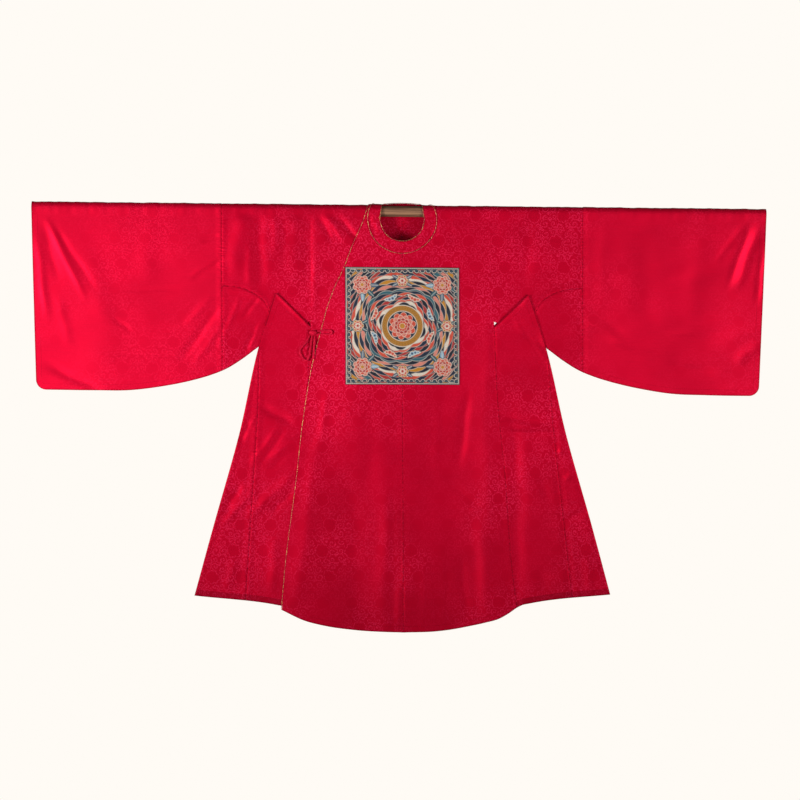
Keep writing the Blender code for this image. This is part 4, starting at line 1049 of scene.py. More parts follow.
def damask_silk(name, ground, figure_colour):
    """Silk damask: a satin ground with a broad coloured gloss, and a paler, duller woven figure.

    The figure reads paler than the ground in shade and darker in full light.
    """
    made, tree = new_material(name)
    flat = add(tree, "ShaderNodeUVMap", uv_map="flat")
    rest = add(tree, "ShaderNodeTexCoord", (), "Object")
    cloudy = add(tree, "ShaderNodeTexNoise", {"Vector": rest, "Scale": 5.0, "Detail": 3.0}, "Fac")
    # handling has flattened the figure in places, and its threads are frayed in steps of 2 mm
    worn = add(tree, "ShaderNodeTexNoise", {"Vector": rest, "Scale": 3.1, "Detail": 2.0}, "Fac")
    frayed = add(tree, "ShaderNodeTexNoise", {"Vector": rest, "Scale": 330.0, "Detail": 2.0}, "Fac")
    kept = remap(tree, worn, 0.40, 0.62, 0.22, 1.0)
    kept = calc(tree, "MULTIPLY", kept, remap(tree, frayed, 0.40, 0.60, 0.20, 1.0))
    figure = calc(tree, "MULTIPLY", damask_figure(tree, flat), kept)
    seam = add(tree, "ShaderNodeAttribute", (), "Fac", attribute_name="seam")
    hem = add(tree, "ShaderNodeAttribute", (), "Fac", attribute_name="hem")
    band = add(tree, "ShaderNodeAttribute", (), "Fac", attribute_name="band")
    # weft slubs about 1 mm thick and 60 mm long, drawn coarser than the 0.15 mm threads
    stretched = add(tree, "ShaderNodeMapping", {"Vector": flat, "Scale": (16.0, 900.0, 1.0)})
    slub = add(tree, "ShaderNodeTexNoise", {"Vector": stretched, "Scale": 1.0, "Detail": 2.0}, "Fac")
    base = mix_colours(tree, figure, hex_colour(ground), hex_colour(figure_colour))
    # each seam is darker, partly its seam allowance seen through the silk and partly painted shade in its
    # dip; small stitches hold it, so the darkening comes and goes along it
    knots = add(tree, "ShaderNodeTexNoise", {"Vector": rest, "Scale": 190.0, "Detail": 1.0}, "Fac")
    shade = remap(tree, seam, 0.0003, 0.0030, 0.0, 1.0)
    shade = calc(tree, "MAXIMUM", shade, remap(tree, knots, 0.36, 0.66, 0.25, 0.80))
    shade = remap(tree, shade, 0.0, 1.0, 0.52, 1.0)
    # the wing's turned-up hem is darker: partly its doubled cloth, partly painted shade of the hem curling
    # back
    shade = calc(tree, "MULTIPLY", shade, remap(tree, band, 0.0, 1.0, 1.0, 0.74))
    # painted shade where the cloth rounds over, within about 5 mm of a hem or a free edge
    shade = calc(tree, "MULTIPLY", shade, remap(tree, hem, 0.0010, 0.0055, 0.62, 1.0))
    shade = calc(tree, "MULTIPLY", shade, remap(tree, cloudy, 0.3, 0.7, 0.95, 1.05))
    shade = calc(tree, "MULTIPLY", shade, remap(tree, slub, 0.3, 0.7, 0.965, 1.035))
    # running stitches 4 mm long, every 6 mm, 18 mm in from a hem
    on_line = add(tree, "ShaderNodeMath", (hem, 0.0182, 0.0006), operation="COMPARE")
    split = add(tree, "ShaderNodeSeparateXYZ", (flat,)).node
    dashes = calc(tree, "FRACT", calc(tree, "DIVIDE", split.outputs["X"], 0.006))
    dashes = calc(tree, "LESS_THAN", dashes, 0.66)
    stitch = calc(tree, "MULTIPLY", on_line, dashes)
    shade = calc(tree, "MULTIPLY", shade, remap(tree, stitch, 0.0, 1.0, 1.0, 0.72))
    tone = add(tree, "ShaderNodeVectorMath", {0: base, "Scale": shade}, operation="SCALE")
    rough = calc(tree, "MULTIPLY_ADD", slub, 0.10, remap(tree, figure, 0.0, 1.0, 0.50, 0.60))
    # puckers run across a seam, about 9 mm apart and up to 20 mm long
    gathers = add(tree, "ShaderNodeMapping", {"Vector": flat, "Scale": (45.0, 190.0, 1.0)})
    pucker = add(tree, "ShaderNodeTexNoise", {"Vector": gathers, "Scale": 1.0, "Detail": 1.0}, "Fac")
    pucker = calc(tree, "MULTIPLY", pucker, remap(tree, seam, 0.001, 0.022, 0.0024, 0.0))
    height = calc(tree, "MULTIPLY_ADD", slub, 0.00012, pucker)
    height = calc(tree, "MULTIPLY_ADD", figure, 0.00010, height)
    bump = add(tree, "ShaderNodeBump", {"Strength": 0.8, "Distance": 1.0, "Height": height})
    surface = {
        "Base Color": tone,
        "Roughness": rough,
        "Metallic": remap(tree, figure, 0.0, 1.0, 0.50, 0.26),
        "Normal": bump,
        "IOR": 1.50,
        "Specular IOR Level": 0.42,
        "Specular Tint": hex_colour("#FF7080"),
        "Sheen Weight": 0.16,
        "Sheen Roughness": 0.4,
        "Sheen Tint": hex_colour("#FF7A86"),
    }
    end_material(tree, surface)
    return made


def end_material(tree, surface):
    """Close a tree with one Principled shader that has these inputs."""
    shader = add(tree, "ShaderNodeBsdfPrincipled", surface)
    add(tree, "ShaderNodeOutputMaterial", (shader,))


def mix_colours(tree, factor, first, second):
    """A colour between two, by a factor."""
    return add(tree, "ShaderNodeMix", {0: factor, 6: first, 7: second}, 2, data_type="RGBA")


def remap(tree, value, low, high, at_low, at_high):
    """A value carried smoothly from one range to another."""
    return add(
        tree,
        "ShaderNodeMapRange",
        (value, low, high, at_low, at_high),
        interpolation_type="SMOOTHSTEP",
    )


def gilt_cord(name, pale, deep):
    """Gilt thread cord: flat gilt strip wound round silk, two plies, worn pink where it rubbed."""
    made, tree = new_material(name)
    flat = add(tree, "ShaderNodeUVMap", uv_map="flat")
    split = add(tree, "ShaderNodeSeparateXYZ", (flat,)).node
    stretched = add(tree, "ShaderNodeMapping", {"Vector": flat, "Scale": (260.0, 2.0, 1.0)})
    worn = add(tree, "ShaderNodeTexNoise", {"Vector": stretched, "Scale": 1.0, "Detail": 2.0}, "Fac")
    tone = mix_colours(tree, remap(tree, worn, 0.40, 0.52, 0.0, 1.0), hex_colour(pale), hex_colour(deep))
    # the strip's turns are 0.6 mm apart and lean with the twist
    wound = calc(tree, "MULTIPLY_ADD", split.outputs["X"], 1.0 / 0.0006, split.outputs["Y"])
    ribs = calc(tree, "PINGPONG", wound, 0.5)
    bump = add(tree, "ShaderNodeBump", {"Strength": 0.7, "Distance": 0.0002, "Height": ribs})
    surface = {
        "Base Color": tone,
        "Roughness": remap(tree, worn, 0.4, 0.6, 0.36, 0.58),
        "Metallic": remap(tree, worn, 0.4, 0.6, 0.60, 0.20),
        "Normal": bump,
    }
    end_material(tree, surface)
    return made


def silk_tape(name, face, edge):
    """Silk ribbon tape: fine ribs across its width, with painted shade between them, darker towards its
    edges.
    """
    made, tree = new_material(name)
    flat = add(tree, "ShaderNodeUVMap", uv_map="flat")
    split = add(tree, "ShaderNodeSeparateXYZ", (flat,)).node
    # ribs 0.9 mm apart along the tape, drawn coarser than the real 0.4 mm
    ribs = calc(tree, "PINGPONG", calc(tree, "DIVIDE", split.outputs["X"], 0.0009), 0.5)
    rest = add(tree, "ShaderNodeTexCoord", (), "Object")
    cloudy = add(tree, "ShaderNodeTexNoise", {"Vector": rest, "Scale": 90.0, "Detail": 2.0}, "Fac")
    border = remap(tree, calc(tree, "ABSOLUTE", split.outputs["Y"]), 0.36, 0.47, 0.0, 1.0)
    tone = mix_colours(tree, border, hex_colour(face), hex_colour(edge))
    shade = remap(tree, cloudy, 0.3, 0.7, 0.86, 1.12)
    # painted shade between the ribs and painted light on their crests
    shade = calc(tree, "MULTIPLY", shade, remap(tree, ribs, 0.0, 0.5, 0.86, 1.06))
    tone = add(tree, "ShaderNodeVectorMath", {0: tone, "Scale": shade}, operation="SCALE")
    bump = add(tree, "ShaderNodeBump", {"Strength": 0.6, "Distance": 0.0003, "Height": ribs})
    surface = {
        "Base Color": tone,
        "Roughness": remap(tree, ribs, 0.0, 0.5, 0.50, 0.38),
        "Normal": bump,
        "Specular IOR Level": 0.4,
        "Specular Tint": hex_colour("#FF5A6A"),
        "Sheen Weight": 0.15,
        "Sheen Tint": hex_colour("#FF6078"),
    }
    end_material(tree, surface)
    return made


def old_wood(name, pale, deep):
    """Planed softwood, handled and unvarnished: long grain along the rod, a few dark streaks."""
    made, tree = new_material(name)
    rest = add(tree, "ShaderNodeTexCoord", (), "Object")
    # grain lines about 2 mm apart across the rod and 300 mm long
    stretched = add(tree, "ShaderNodeMapping", {"Vector": rest, "Scale": (3.2, 260.0, 260.0)})
    lines = {"Vector": stretched, "Scale": 1.0, "Detail": 5.0, "Distortion": 0.6}
    grain = add(tree, "ShaderNodeTexNoise", lines, "Fac")
    wide = add(tree, "ShaderNodeMapping", {"Vector": rest, "Scale": (7.0, 30.0, 30.0)})
    patches = add(tree, "ShaderNodeTexNoise", {"Vector": wide, "Scale": 1.0, "Detail": 3.0}, "Fac")
    tone = mix_colours(tree, remap(tree, grain, 0.36, 0.62, 0.0, 1.0), hex_colour(pale), hex_colour(deep))
    shade = remap(tree, patches, 0.3, 0.7, 0.78, 1.12)
    tone = add(tree, "ShaderNodeVectorMath", {0: tone, "Scale": shade}, operation="SCALE")
    bump = add(tree, "ShaderNodeBump", {"Strength": 0.5, "Distance": 0.0006, "Height": grain})
    surface = {
        "Base Color": tone,
        "Roughness": remap(tree, grain, 0.3, 0.7, 0.48, 0.66),
        "Normal": bump,
        "Specular IOR Level": 0.4,
    }
    end_material(tree, surface)
    return made


def floss_embroidery(name):
    """Silk floss embroidery in satin stitch: each colour laid in its own direction.

    The floss strands are 0.9 mm apart, drawn coarser than the real 0.4 mm, and glint along them. Painted
    light and shade run across each strand: lighter on its crest, darker between strands.
    """
    made, tree = new_material(name)
    flat = add(tree, "ShaderNodeUVMap", uv_map="flat")
    colour = add(tree, "ShaderNodeAttribute", (), "Color", attribute_name="floss")
    lay = add(tree, "ShaderNodeAttribute", (), "Vector", attribute_name="lay")
    across = add(tree, "ShaderNodeVectorMath", (flat, lay), "Value", operation="DOT_PRODUCT")
    strands = calc(tree, "PINGPONG", calc(tree, "DIVIDE", across, 0.0009), 0.5)
    rest = add(tree, "ShaderNodeTexCoord", (), "Object")
    uneven = add(tree, "ShaderNodeTexNoise", {"Vector": rest, "Scale": 420.0, "Detail": 2.0}, "Fac")
    # painted light and shade across each strand: lighter on its crest, darker between strands
    shade = remap(tree, strands, 0.0, 0.5, 0.82, 1.08)
    shade = calc(tree, "MULTIPLY", shade, remap(tree, uneven, 0.3, 0.7, 0.86, 1.12))
    tone = add(tree, "ShaderNodeVectorMath", {0: colour, "Scale": shade}, operation="SCALE")
    height = calc(tree, "MULTIPLY_ADD", uneven, 0.4, strands)
    bump = add(tree, "ShaderNodeBump", {"Strength": 0.6, "Distance": 0.0003, "Height": height})
    surface = {
        "Base Color": tone,
        "Roughness": remap(tree, strands, 0.0, 0.5, 0.55, 0.40),
        "Normal": bump,
        "Specular IOR Level": 0.35,
        "Sheen Weight": 0.10,
    }
    end_material(tree, surface)
    return made


def finish_of(kind):
    """The material of this kind, made once from the colours in the settings."""
    colours = bpy.context.scene.robe_colours
    makers = {
        "silk_damask_body": lambda name: damask_silk(name, colours.silk_ground, colours.silk_figure),
        # the sleeves' paler silk is partly a paler bolt and partly painted light
        "silk_damask_sleeve": lambda name: damask_silk(name, colours.sleeve_ground_paler_and_lit, colours.sleeve_figure_paler_and_lit),
        "gilt_thread_cord": lambda name: gilt_cord(name, colours.gilt, colours.gilt_worn),
        "silk_ribbon_tape": lambda name: silk_tape(name, colours.ribbon, colours.ribbon_edge),
        "softwood_planed": lambda name: old_wood(name, colours.wood, colours.wood_grain),
        "silk_floss_embroidery": floss_embroidery,
    }
    return bpy.data.materials.get(kind) or makers[kind](kind)


# Colours of the embroidery floss, as sRGB hex
FLOSS = {
    "navy": "#14223A",
    "ink": "#141B2C",
    "slate": "#5A6F82",
    "sky": "#8FB0C4",
    "teal": "#2E5F6B",
    "cream": "#D8CBBB",
    "silver": "#A29A92",
    "coral": "#CC4B36",
    "pink": "#D3806F",
    "brick": "#A92E2C",
    "gold": "#BF8226",
    "ochre": "#9A6A2A",
}


# Discs of a small cloud, as shares of its size. Columns: place along, place across, radius
CLOUD_DISCS = (
    (-1.15, -0.05, 0.50),
    (-0.42, 0.22, 0.66),
    (0.42, 0.16, 0.60),
    (1.12, -0.08, 0.46),
)
WAVE_PITCH = 18.0  # the badge's border of waves and its braid, in mm
WAVE_RADIUS = 9.5
WAVE_RIM = 1.6
BRAID_MIDDLE = 3.6
CLOUD_STEP = 6.4
CLOUD_ORDER = (
    "navy", "brick", "ink", "coral", "navy", "teal", "ink",
    "pink", "navy", "gold", "ink", "cream", "coral",
)  # fmt: skip


def lay_floss(work, distance, colour, raised, angle):
    """Lay one colour where the distance in mm is below zero, with a soft edge and its own lay."""
    cover = np.clip(0.5 - distance / 1.1, 0.0, 1.0)
    work["colour"] += (np.array(hex_colour(FLOSS[colour])) - work["colour"]) * cover[..., None]
    work["height"] += (raised - work["height"]) * cover
    lay = np.stack(np.broadcast_arrays(np.cos(angle), np.sin(angle), 0.0 * distance), axis=-1)
    work["lay"] = np.where((cover > 0.5)[..., None], lay, work["lay"])


def stitch_flower(work, centre, radius, petals, turn, shades):
    """A blossom: lobed discs one in another, each a share of the radius, stitched outwards."""
    dx, dy = work["x"] - centre[0], work["y"] - centre[1]
    out, around = np.hypot(dx, dy), np.arctan2(dy, dx)
    lobe = np.abs(np.cos(0.5 * petals * (around - turn))) ** 0.7
    lay_floss(work, out - radius * (0.80 + 0.20 * lobe) - 1.6, "ink", 0.10, around)
    for k, (share, colour) in enumerate(shades):
        shift = 0.5 * math.pi / petals * 2.0 if k % 2 else 0.0
        lobe = np.abs(np.cos(0.5 * petals * (around - turn - shift))) ** 0.7
        edge = radius * share * (0.78 + 0.22 * lobe)
        lay_floss(work, out - edge, "cream", 0.30 + 0.04 * k, around + math.pi / 2)
        lay_floss(work, out - edge + 1.5, colour, 0.34 + 0.05 * k, around + math.pi / 2)
        split = np.abs(np.sin(0.5 * petals * (around - turn - shift))) * out
        groove = np.maximum(split - 0.9, np.maximum(radius * share * 0.45 - out, out - edge))
        lay_floss(work, groove, "brick" if colour != "brick" else "coral", 0.22, around)


def stitch_leaf(work, centre, length, width, turn, colour):
    """A pointed leaf, where twice the two coordinates' shares add up to 1, with a pale vein."""
    dx, dy = work["x"] - centre[0], work["y"] - centre[1]
    along = dx * math.cos(turn) + dy * math.sin(turn)
    across = -dx * math.sin(turn) + dy * math.cos(turn)
    distance = (np.abs(across) / width + (along / length) ** 2 - 1.0) * width
    lay_floss(work, distance - 1.1, "ink", 0.10, turn)
    lay_floss(work, distance, colour, 0.32, turn + np.where(across > 0, 0.9, -0.9))
    vein = np.maximum(np.abs(across) - 0.7, np.abs(along) - length * 0.8)
    lay_floss(work, vein, "cream", 0.36, turn)


def stitch_cloud(work, centre, size, turn, shades):
    """A curled cloud: four discs in a row, filled with rims of other colours one in another."""
    dx, dy = work["x"] - centre[0], work["y"] - centre[1]
    along = dx * math.cos(turn) + dy * math.sin(turn)
    across = -dx * math.sin(turn) + dy * math.cos(turn)
    distance = np.full_like(dx, 1e3)
    for step, rise, radius in CLOUD_DISCS:
        disc = np.hypot(along - step * size, across - rise * size) - radius * size
        distance = np.minimum(distance, disc)
    tail = np.maximum(np.abs(across + 0.28 * size) - 0.16 * size, np.abs(along) - 1.9 * size)
    distance = np.minimum(distance, tail)
    lay_floss(work, distance - 1.4, "ink", 0.10, turn)
    for k, colour in enumerate(shades):
        lay_floss(work, distance + 2.1 * k, colour, 0.26 + 0.04 * k, turn + 0.3 * k)


def stitch_waves(work, along, inward):
    """A border of waves: rings of changing colour round evenly spaced centres."""
    local = along % WAVE_PITCH - WAVE_PITCH / 2
    depth = inward - 5.0
    out, around = np.hypot(local, depth), np.arctan2(depth, local)
    outside = np.maximum(out - WAVE_RADIUS, -depth - 1.0)
    for k, colour in enumerate(("ink", "cream", "navy", "ink", "teal", "navy")):
        ring_edge = np.maximum(outside, out - WAVE_RADIUS + WAVE_RIM * k)
        lay_floss(work, ring_edge, colour, 0.20 + 0.03 * k, around)


def badge_design(x, y):
    """The badge's own design: a round lotus within cloud bands, blossoms in the corners, waves."""
    work = {"x": x, "y": y, "height": np.full_like(x, 0.1)}
    work["colour"] = np.zeros(x.shape + (4,)) + np.array(hex_colour(FLOSS["navy"]))
    work["lay"] = np.zeros(x.shape + (3,)) + np.array([0.0, 1.0, 0.0])
    out, around = np.hypot(x, y), np.arctan2(y, x)
    # scalloped banks of cloud lie one in another, each with its own swellings and a pale rim
    for k in range(37, 9, -1):
        swell = 5.5 * np.abs(np.sin((4 + k // 6) * around + 1.9 * k)) + 6.0 * np.sin(4.0 * around + 0.25 * k)
        rim = out - CLOUD_STEP * k - swell
        lay_floss(work, rim, "cream" if k % 3 == 0 else "silver", 0.26, around)
        lay_floss(work, rim + 1.3, CLOUD_ORDER[k % len(CLOUD_ORDER)], 0.16 + 0.02 * (k % 3), around)
    # a gold lattice ring with dark eyes round the lotus
    lay_floss(work, np.maximum(46.0 - out, out - 63.5), "ochre", 0.22, around)
    cell_a = (around / (2 * math.pi) * 40.0) % 1.0 - 0.5
    cell_b = ((out - 47.0) / 8.0) % 1.0 - 0.5
    lozenge = (np.abs(cell_a) + np.abs(cell_b) - 0.44) * 8.0
    in_ring = np.maximum(47.0 - out, out - 62.5)
    lay_floss(work, np.maximum(lozenge, in_ring), "gold", 0.34, around + 0.7)
    lay_floss(work, np.maximum(lozenge + 2.3, in_ring), "ink", 0.24, around)
    for edge in (46.0, 64.0):
        lay_floss(work, np.abs(out - edge) - 1.2, "cream", 0.30, around)
    lay_floss(work, out - 45.0, "navy", 0.12, around)
    shades = ((1.0, "coral"), (0.80, "pink"), (0.60, "brick"), (0.42, "coral"), (0.24, "gold"))
    stitch_flower(work, (0.0, 0.0), 43.0, 10, 0.2, shades)
    for k in range(8):
        turn = (k + 0.5) * math.pi / 4
        centre = (93.0 * math.cos(turn), 93.0 * math.sin(turn))
        palette = (("cream", "sky", "slate", "navy"), ("cream", "pink", "coral", "brick"))[k % 2]
        stitch_cloud(work, centre, 12.0, turn + math.pi / 2, palette)
    for sx in (-1.0, 1.0):
        for sy in (-1.0, 1.0):
            for spread, colour in ((0.0, "teal"), (0.75, "slate"), (-0.75, "sky")):
                turn = math.atan2(-sy, -sx) + spread
                centre = (sx * 124.0 + 37.0 * math.cos(turn), sy * 127.0 + 37.0 * math.sin(turn))
                stitch_leaf(work, centre, 16.0, 6.0, turn, colour)
            shades = ((1.0, "pink"), (0.82, "coral"), (0.62, "brick"), (0.42, "pink"), (0.24, "gold"))
            stitch_flower(work, (sx * 124.0, sy * 127.0), 30.0, 8, 0.4 * sx * sy, shades)
        for swap in (False, True):
            centre = (0.0, sx * 140.0) if swap else (sx * 138.0, 0.0)
            for turn in (0.5, math.pi - 0.5, -0.5, math.pi + 0.5):
                tip = (centre[0] + 24.0 * math.cos(turn), centre[1] + 24.0 * math.sin(turn))
                stitch_leaf(work, tip, 12.0, 4.5, turn, "slate" if swap else "teal")
            shades = ((1.0, "gold"), (0.78, "coral"), (0.52, "cream"), (0.30, "brick"))
            stitch_flower(work, centre, 19.0, 6, 0.0, shades)
    for along, inward in ((x, 177.0 + y), (x, 177.0 - y), (y, 172.0 - x), (y, 172.0 + x)):
        stitch_waves(work, along, inward)
    # the woven silver braid round the edge, between two dark lines
    edge = np.minimum(176.5 - np.abs(x), 181.5 - np.abs(y))
    lay_floss(work, edge - 6.4, "ink", 0.10, 0.0)
    off_braid = np.abs(edge - BRAID_MIDDLE)
    lay_floss(work, off_braid - 1.7, "silver", 0.42, 0.8)
    lay_floss(work, np.maximum(off_braid - 0.5, np.sin((x + y) * 1.1) * 2.0), "cream", 0.46, 0.8)
    return work


BADGE_CELLS = (50, 52)
BADGE_FINE = 6  # fine steps of the stitched face to one cell of the plain back


def edge_loop(index):
    """Indices round the edge of a grid, from its first corner along its first row."""
    return np.concatenate([index[0], index[1:, -1], index[-1, -2::-1], index[-2:0:-1, 0]])


def badge_mesh():
    """Points, faces and attributes: a fine stitched face, a plain back and a rim between them."""
    settings = bpy.context.scene.robe_cloth
    x = np.linspace(-BADGE_HALF, BADGE_HALF, BADGE_CELLS[0] * BADGE_FINE + 1)[None, :]
    s = ROD_ARC + np.linspace(*BADGE_DROPS, BADGE_CELLS[1] * BADGE_FINE + 1)[:, None]
    x, s = (np.array(v) for v in np.broadcast_arrays(x, s))
    middle = ROD_ARC + sum(BADGE_DROPS) / 2
    work = badge_design(x * 1000.0, (middle - s) * 1000.0)
    base = outer_lift(x, drop_of(s)) + LAYER - WALL + BADGE_WALL
    outer = place(x, s, base + (work["height"] - 0.1) * settings.badge_relief)
    thin = (slice(None, None, BADGE_FINE), slice(None, None, BADGE_FINE))
    inner = place(x[thin], s[thin], base[thin] - BADGE_WALL)
    fine = np.arange(x.size).reshape(x.shape)
    coarse = x.size + np.arange(inner[..., 0].size).reshape(inner.shape[:2])
    faces = grid_faces(fine).tolist() + grid_faces(coarse)[:, ::-1].tolist()
    far, near = edge_loop(fine), edge_loop(coarse)
    for k in range(len(near)):
        span = far.take(range(k * BADGE_FINE, (k + 1) * BADGE_FINE + 1), mode="wrap").tolist()
        faces.append(span + [int(near[(k + 1) % len(near)]), int(near[k])])
    points = np.concatenate([outer.reshape(-1, 3), inner.reshape(-1, 3)])
    attributes = {}
    for key, values in (("flat", np.stack([x, s], axis=-1)), ("floss", work["colour"]), ("lay", work["lay"])):
        size = values.shape[-1]
        attributes[key] = np.concatenate([values.reshape(-1, size), values[thin].reshape(-1, size)])
    return points, faces, attributes


def set_attributes(mesh, attributes):
    """Put flat coordinates into the UV map and other values onto the mesh's points."""
    loops = np.empty(len(mesh.loops), int)
    mesh.loops.foreach_get("vertex_index", loops)
    kinds = {1: ("FLOAT", "value"), 3: ("FLOAT_VECTOR", "vector"), 4: ("FLOAT_COLOR", "color")}
    for key, values in attributes.items():
        values = np.asarray(values, np.float32)
        if key == "flat":
            mesh.uv_layers.new(name=key).uv.foreach_set("vector", values[loops].ravel())
            continue
        kind, field = kinds[1 if values.ndim == 1 else values.shape[1]]
        mesh.attributes.new(key, kind, "POINT").data.foreach_set(field, values.ravel())


def add_piece(name, points, faces, finish, replaced, slot_name, attributes):
    """Make the mesh object with faces outwards and its attributes, and tie it to the frame."""
    mesh = bpy.data.meshes.new(name)
    mesh.from_pydata(points.tolist(), [], faces)
    mesh.update()
    set_attributes(mesh, attributes)
    if mesh_volume(mesh) < 0:
        mesh.flip_normals()
    mesh.shade_smooth()
    mesh.set_sharp_from_angle(angle=math.radians(50.0))
    mesh.materials.append(finish_of(finish))
    made = bpy.data.objects.new(name, mesh)
    bpy.context.scene.collection.objects.link(made)
    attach(made, "root")
    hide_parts(*replaced)
    return made


def mesh_volume(mesh):
    """Signed volume of a closed mesh from its triangles, positive with faces outwards."""
    points = np.empty(len(mesh.vertices) * 3)
    mesh.vertices.foreach_get("co", points)
    mesh.calc_loop_triangles()
    corners = np.empty(len(mesh.loop_triangles) * 3, int)
    mesh.loop_triangles.foreach_get("vertices", corners)
    a, b, c = points.reshape(-1, 3)[corners.reshape(-1, 3)].transpose(1, 0, 2)
    return float(np.sum(a * np.cross(b, c)) / 6.0)


def ribbon_parts(path, widths, lifts):
    """A flat tape along path points of x, drop: its wall's points, faces, UVs and centreline."""
    path, widths, lifts = (refine(np.array(v, float), TAPE_POINTS) for v in (path, widths, lifts))
    tangent = unit(np.gradient(path, axis=0))
    normal = np.stack([-tangent[:, 1], tangent[:, 0]], axis=-1)
    share = np.linspace(-0.5, 0.5, 7)
    flat = path[:, None] + normal[:, None] * (widths[:, None] * share)[..., None]
    travelled = lengths_along(path)
    twist = TAPE_TWIST * np.sin(travelled * TAPE_WAVE)[:, None]
    curl = lifts[:, None] + TAPE_CURL * np.cos(math.pi * share) + twist * share * 2
    x, s = flat[..., 0], ROD_ARC + flat[..., 1]
    faces = grid_faces(np.arange(x.size).reshape(x.shape))
    outer, inner = place(x, s, curl).reshape(-1, 3), place(x, s, curl - RIBBON_WALL).reshape(-1, 3)
    points, faces = wall(outer, inner, faces)
    uv = np.stack(np.broadcast_arrays(travelled[:, None], share), axis=-1).reshape(-1, 2)
    line = place(path[:, 0], ROD_ARC + path[:, 1], lifts - RIBBON_WALL / 2)
    return points, faces.tolist(), {"flat": np.concatenate([uv, uv])}, line


# Ribbon loops of the tie. Columns: x, drop, width, lift of the outer face
STRAP = (
    (-0.2635, 0.3735, 0.0034, 0.0045),
    (-0.2480, 0.3705, 0.0044, 0.0056),
    (-0.2320, 0.3700, 0.0048, 0.0052),
    (-0.2210, 0.3715, 0.0048, 0.0064),
    (-0.2180, 0.3768, 0.0046, 0.0072),
    (-0.2215, 0.3812, 0.0048, 0.0064),
    (-0.2330, 0.3825, 0.0048, 0.0050),
    (-0.2480, 0.3822, 0.0044, 0.0052),
    (-0.2635, 0.3800, 0.0034, 0.0045),
)
LOOP = (
    (-0.2865, 0.3855, 0.0034, 0.0045),
    (-0.3000, 0.4080, 0.0050, 0.0058),
    (-0.3145, 0.4260, 0.0054, 0.0064),
    (-0.3180, 0.4370, 0.0054, 0.0068),
    (-0.3130, 0.4500, 0.0056, 0.0060),
    (-0.3030, 0.4620, 0.0056, 0.0052),
    (-0.2945, 0.4610, 0.0056, 0.0056),
    (-0.2890, 0.4480, 0.0054, 0.0062),
    (-0.2850, 0.4250, 0.0050, 0.0056),
    (-0.2800, 0.3865, 0.0034, 0.0045),
)
TAIL = (
    (-0.2725, 0.3863, 0.0036, 0.0045),
    (-0.2728, 0.4050, 0.0056, 0.0054),
    (-0.2742, 0.4300, 0.0066, 0.0058),
    (-0.2760, 0.4590, 0.0070, 0.0050),
)


class RobeCloth(bpy.types.PropertyGroup):
    """Sizes of the cloth that a user would change."""

    front_step: bpy.props.FloatProperty(
        name="Front grid", description="Grid step of the front", default=0.0058, min=0.003, unit="LENGTH"
    )
    back_step: bpy.props.FloatProperty(
        name="Back grid", description="Grid step of the back", default=0.0085, min=0.003, unit="LENGTH"
    )
    seam_dip: bpy.props.FloatProperty(
        name="Seam dip", description="How deep a sewn edge sinks", default=0.0008, min=0.0, unit="LENGTH"
    )
    crease_strength: bpy.props.FloatProperty(
        name="Creases", description="Share of the creases' height", default=1.35, subtype="FACTOR"
    )
    badge_relief: bpy.props.FloatProperty(
        name="Stitch relief", description="Height of the thickest stitches", default=0.0014, unit="LENGTH"
    )
    piping_share: bpy.props.FloatProperty(
        name="Piping", description="Share of the solid cord's radius", default=0.85, subtype="FACTOR"
    )
    piping_twist: bpy.props.FloatProperty(
        name="Piping twist", description="Length of one turn of the gilt cord", default=0.0065, unit="LENGTH"
    )


class RobeColours(bpy.types.PropertyGroup):
    """Colours of the robe, as sRGB hex codes."""

    silk_ground: bpy.props.StringProperty(name="Silk ground", description="Satin ground", default="#CE002B")
    silk_figure: bpy.props.StringProperty(name="Silk figure", description="Woven figure", default="#E61C4C")
    # the sleeves' silk is set paler than the body's: partly a paler bolt of silk, partly painted light that
    # falls more strongly on the sleeves
    sleeve_ground_paler_and_lit: bpy.props.StringProperty(
        name="Sleeve ground", description="Sleeve satin", default="#DA0430"
    )
    sleeve_figure_paler_and_lit: bpy.props.StringProperty(
        name="Sleeve figure", description="Sleeve figure", default="#E4103E"
    )
    gilt: bpy.props.StringProperty(name="Gilt", description="Fresh gilt thread", default="#E2B070")
    gilt_worn: bpy.props.StringProperty(name="Worn gilt", description="Worn gilt thread", default="#B4283C")
    ribbon: bpy.props.StringProperty(name="Ribbon", description="Ribbon face", default="#CC0E34")
    ribbon_edge: bpy.props.StringProperty(name="Ribbon edge", description="Ribbon edge", default="#A00A2A")
    wood: bpy.props.StringProperty(name="Rod wood", description="Pale wood", default="#A07557")
    wood_grain: bpy.props.StringProperty(name="Rod grain", description="Dark grain", default="#5E4130")


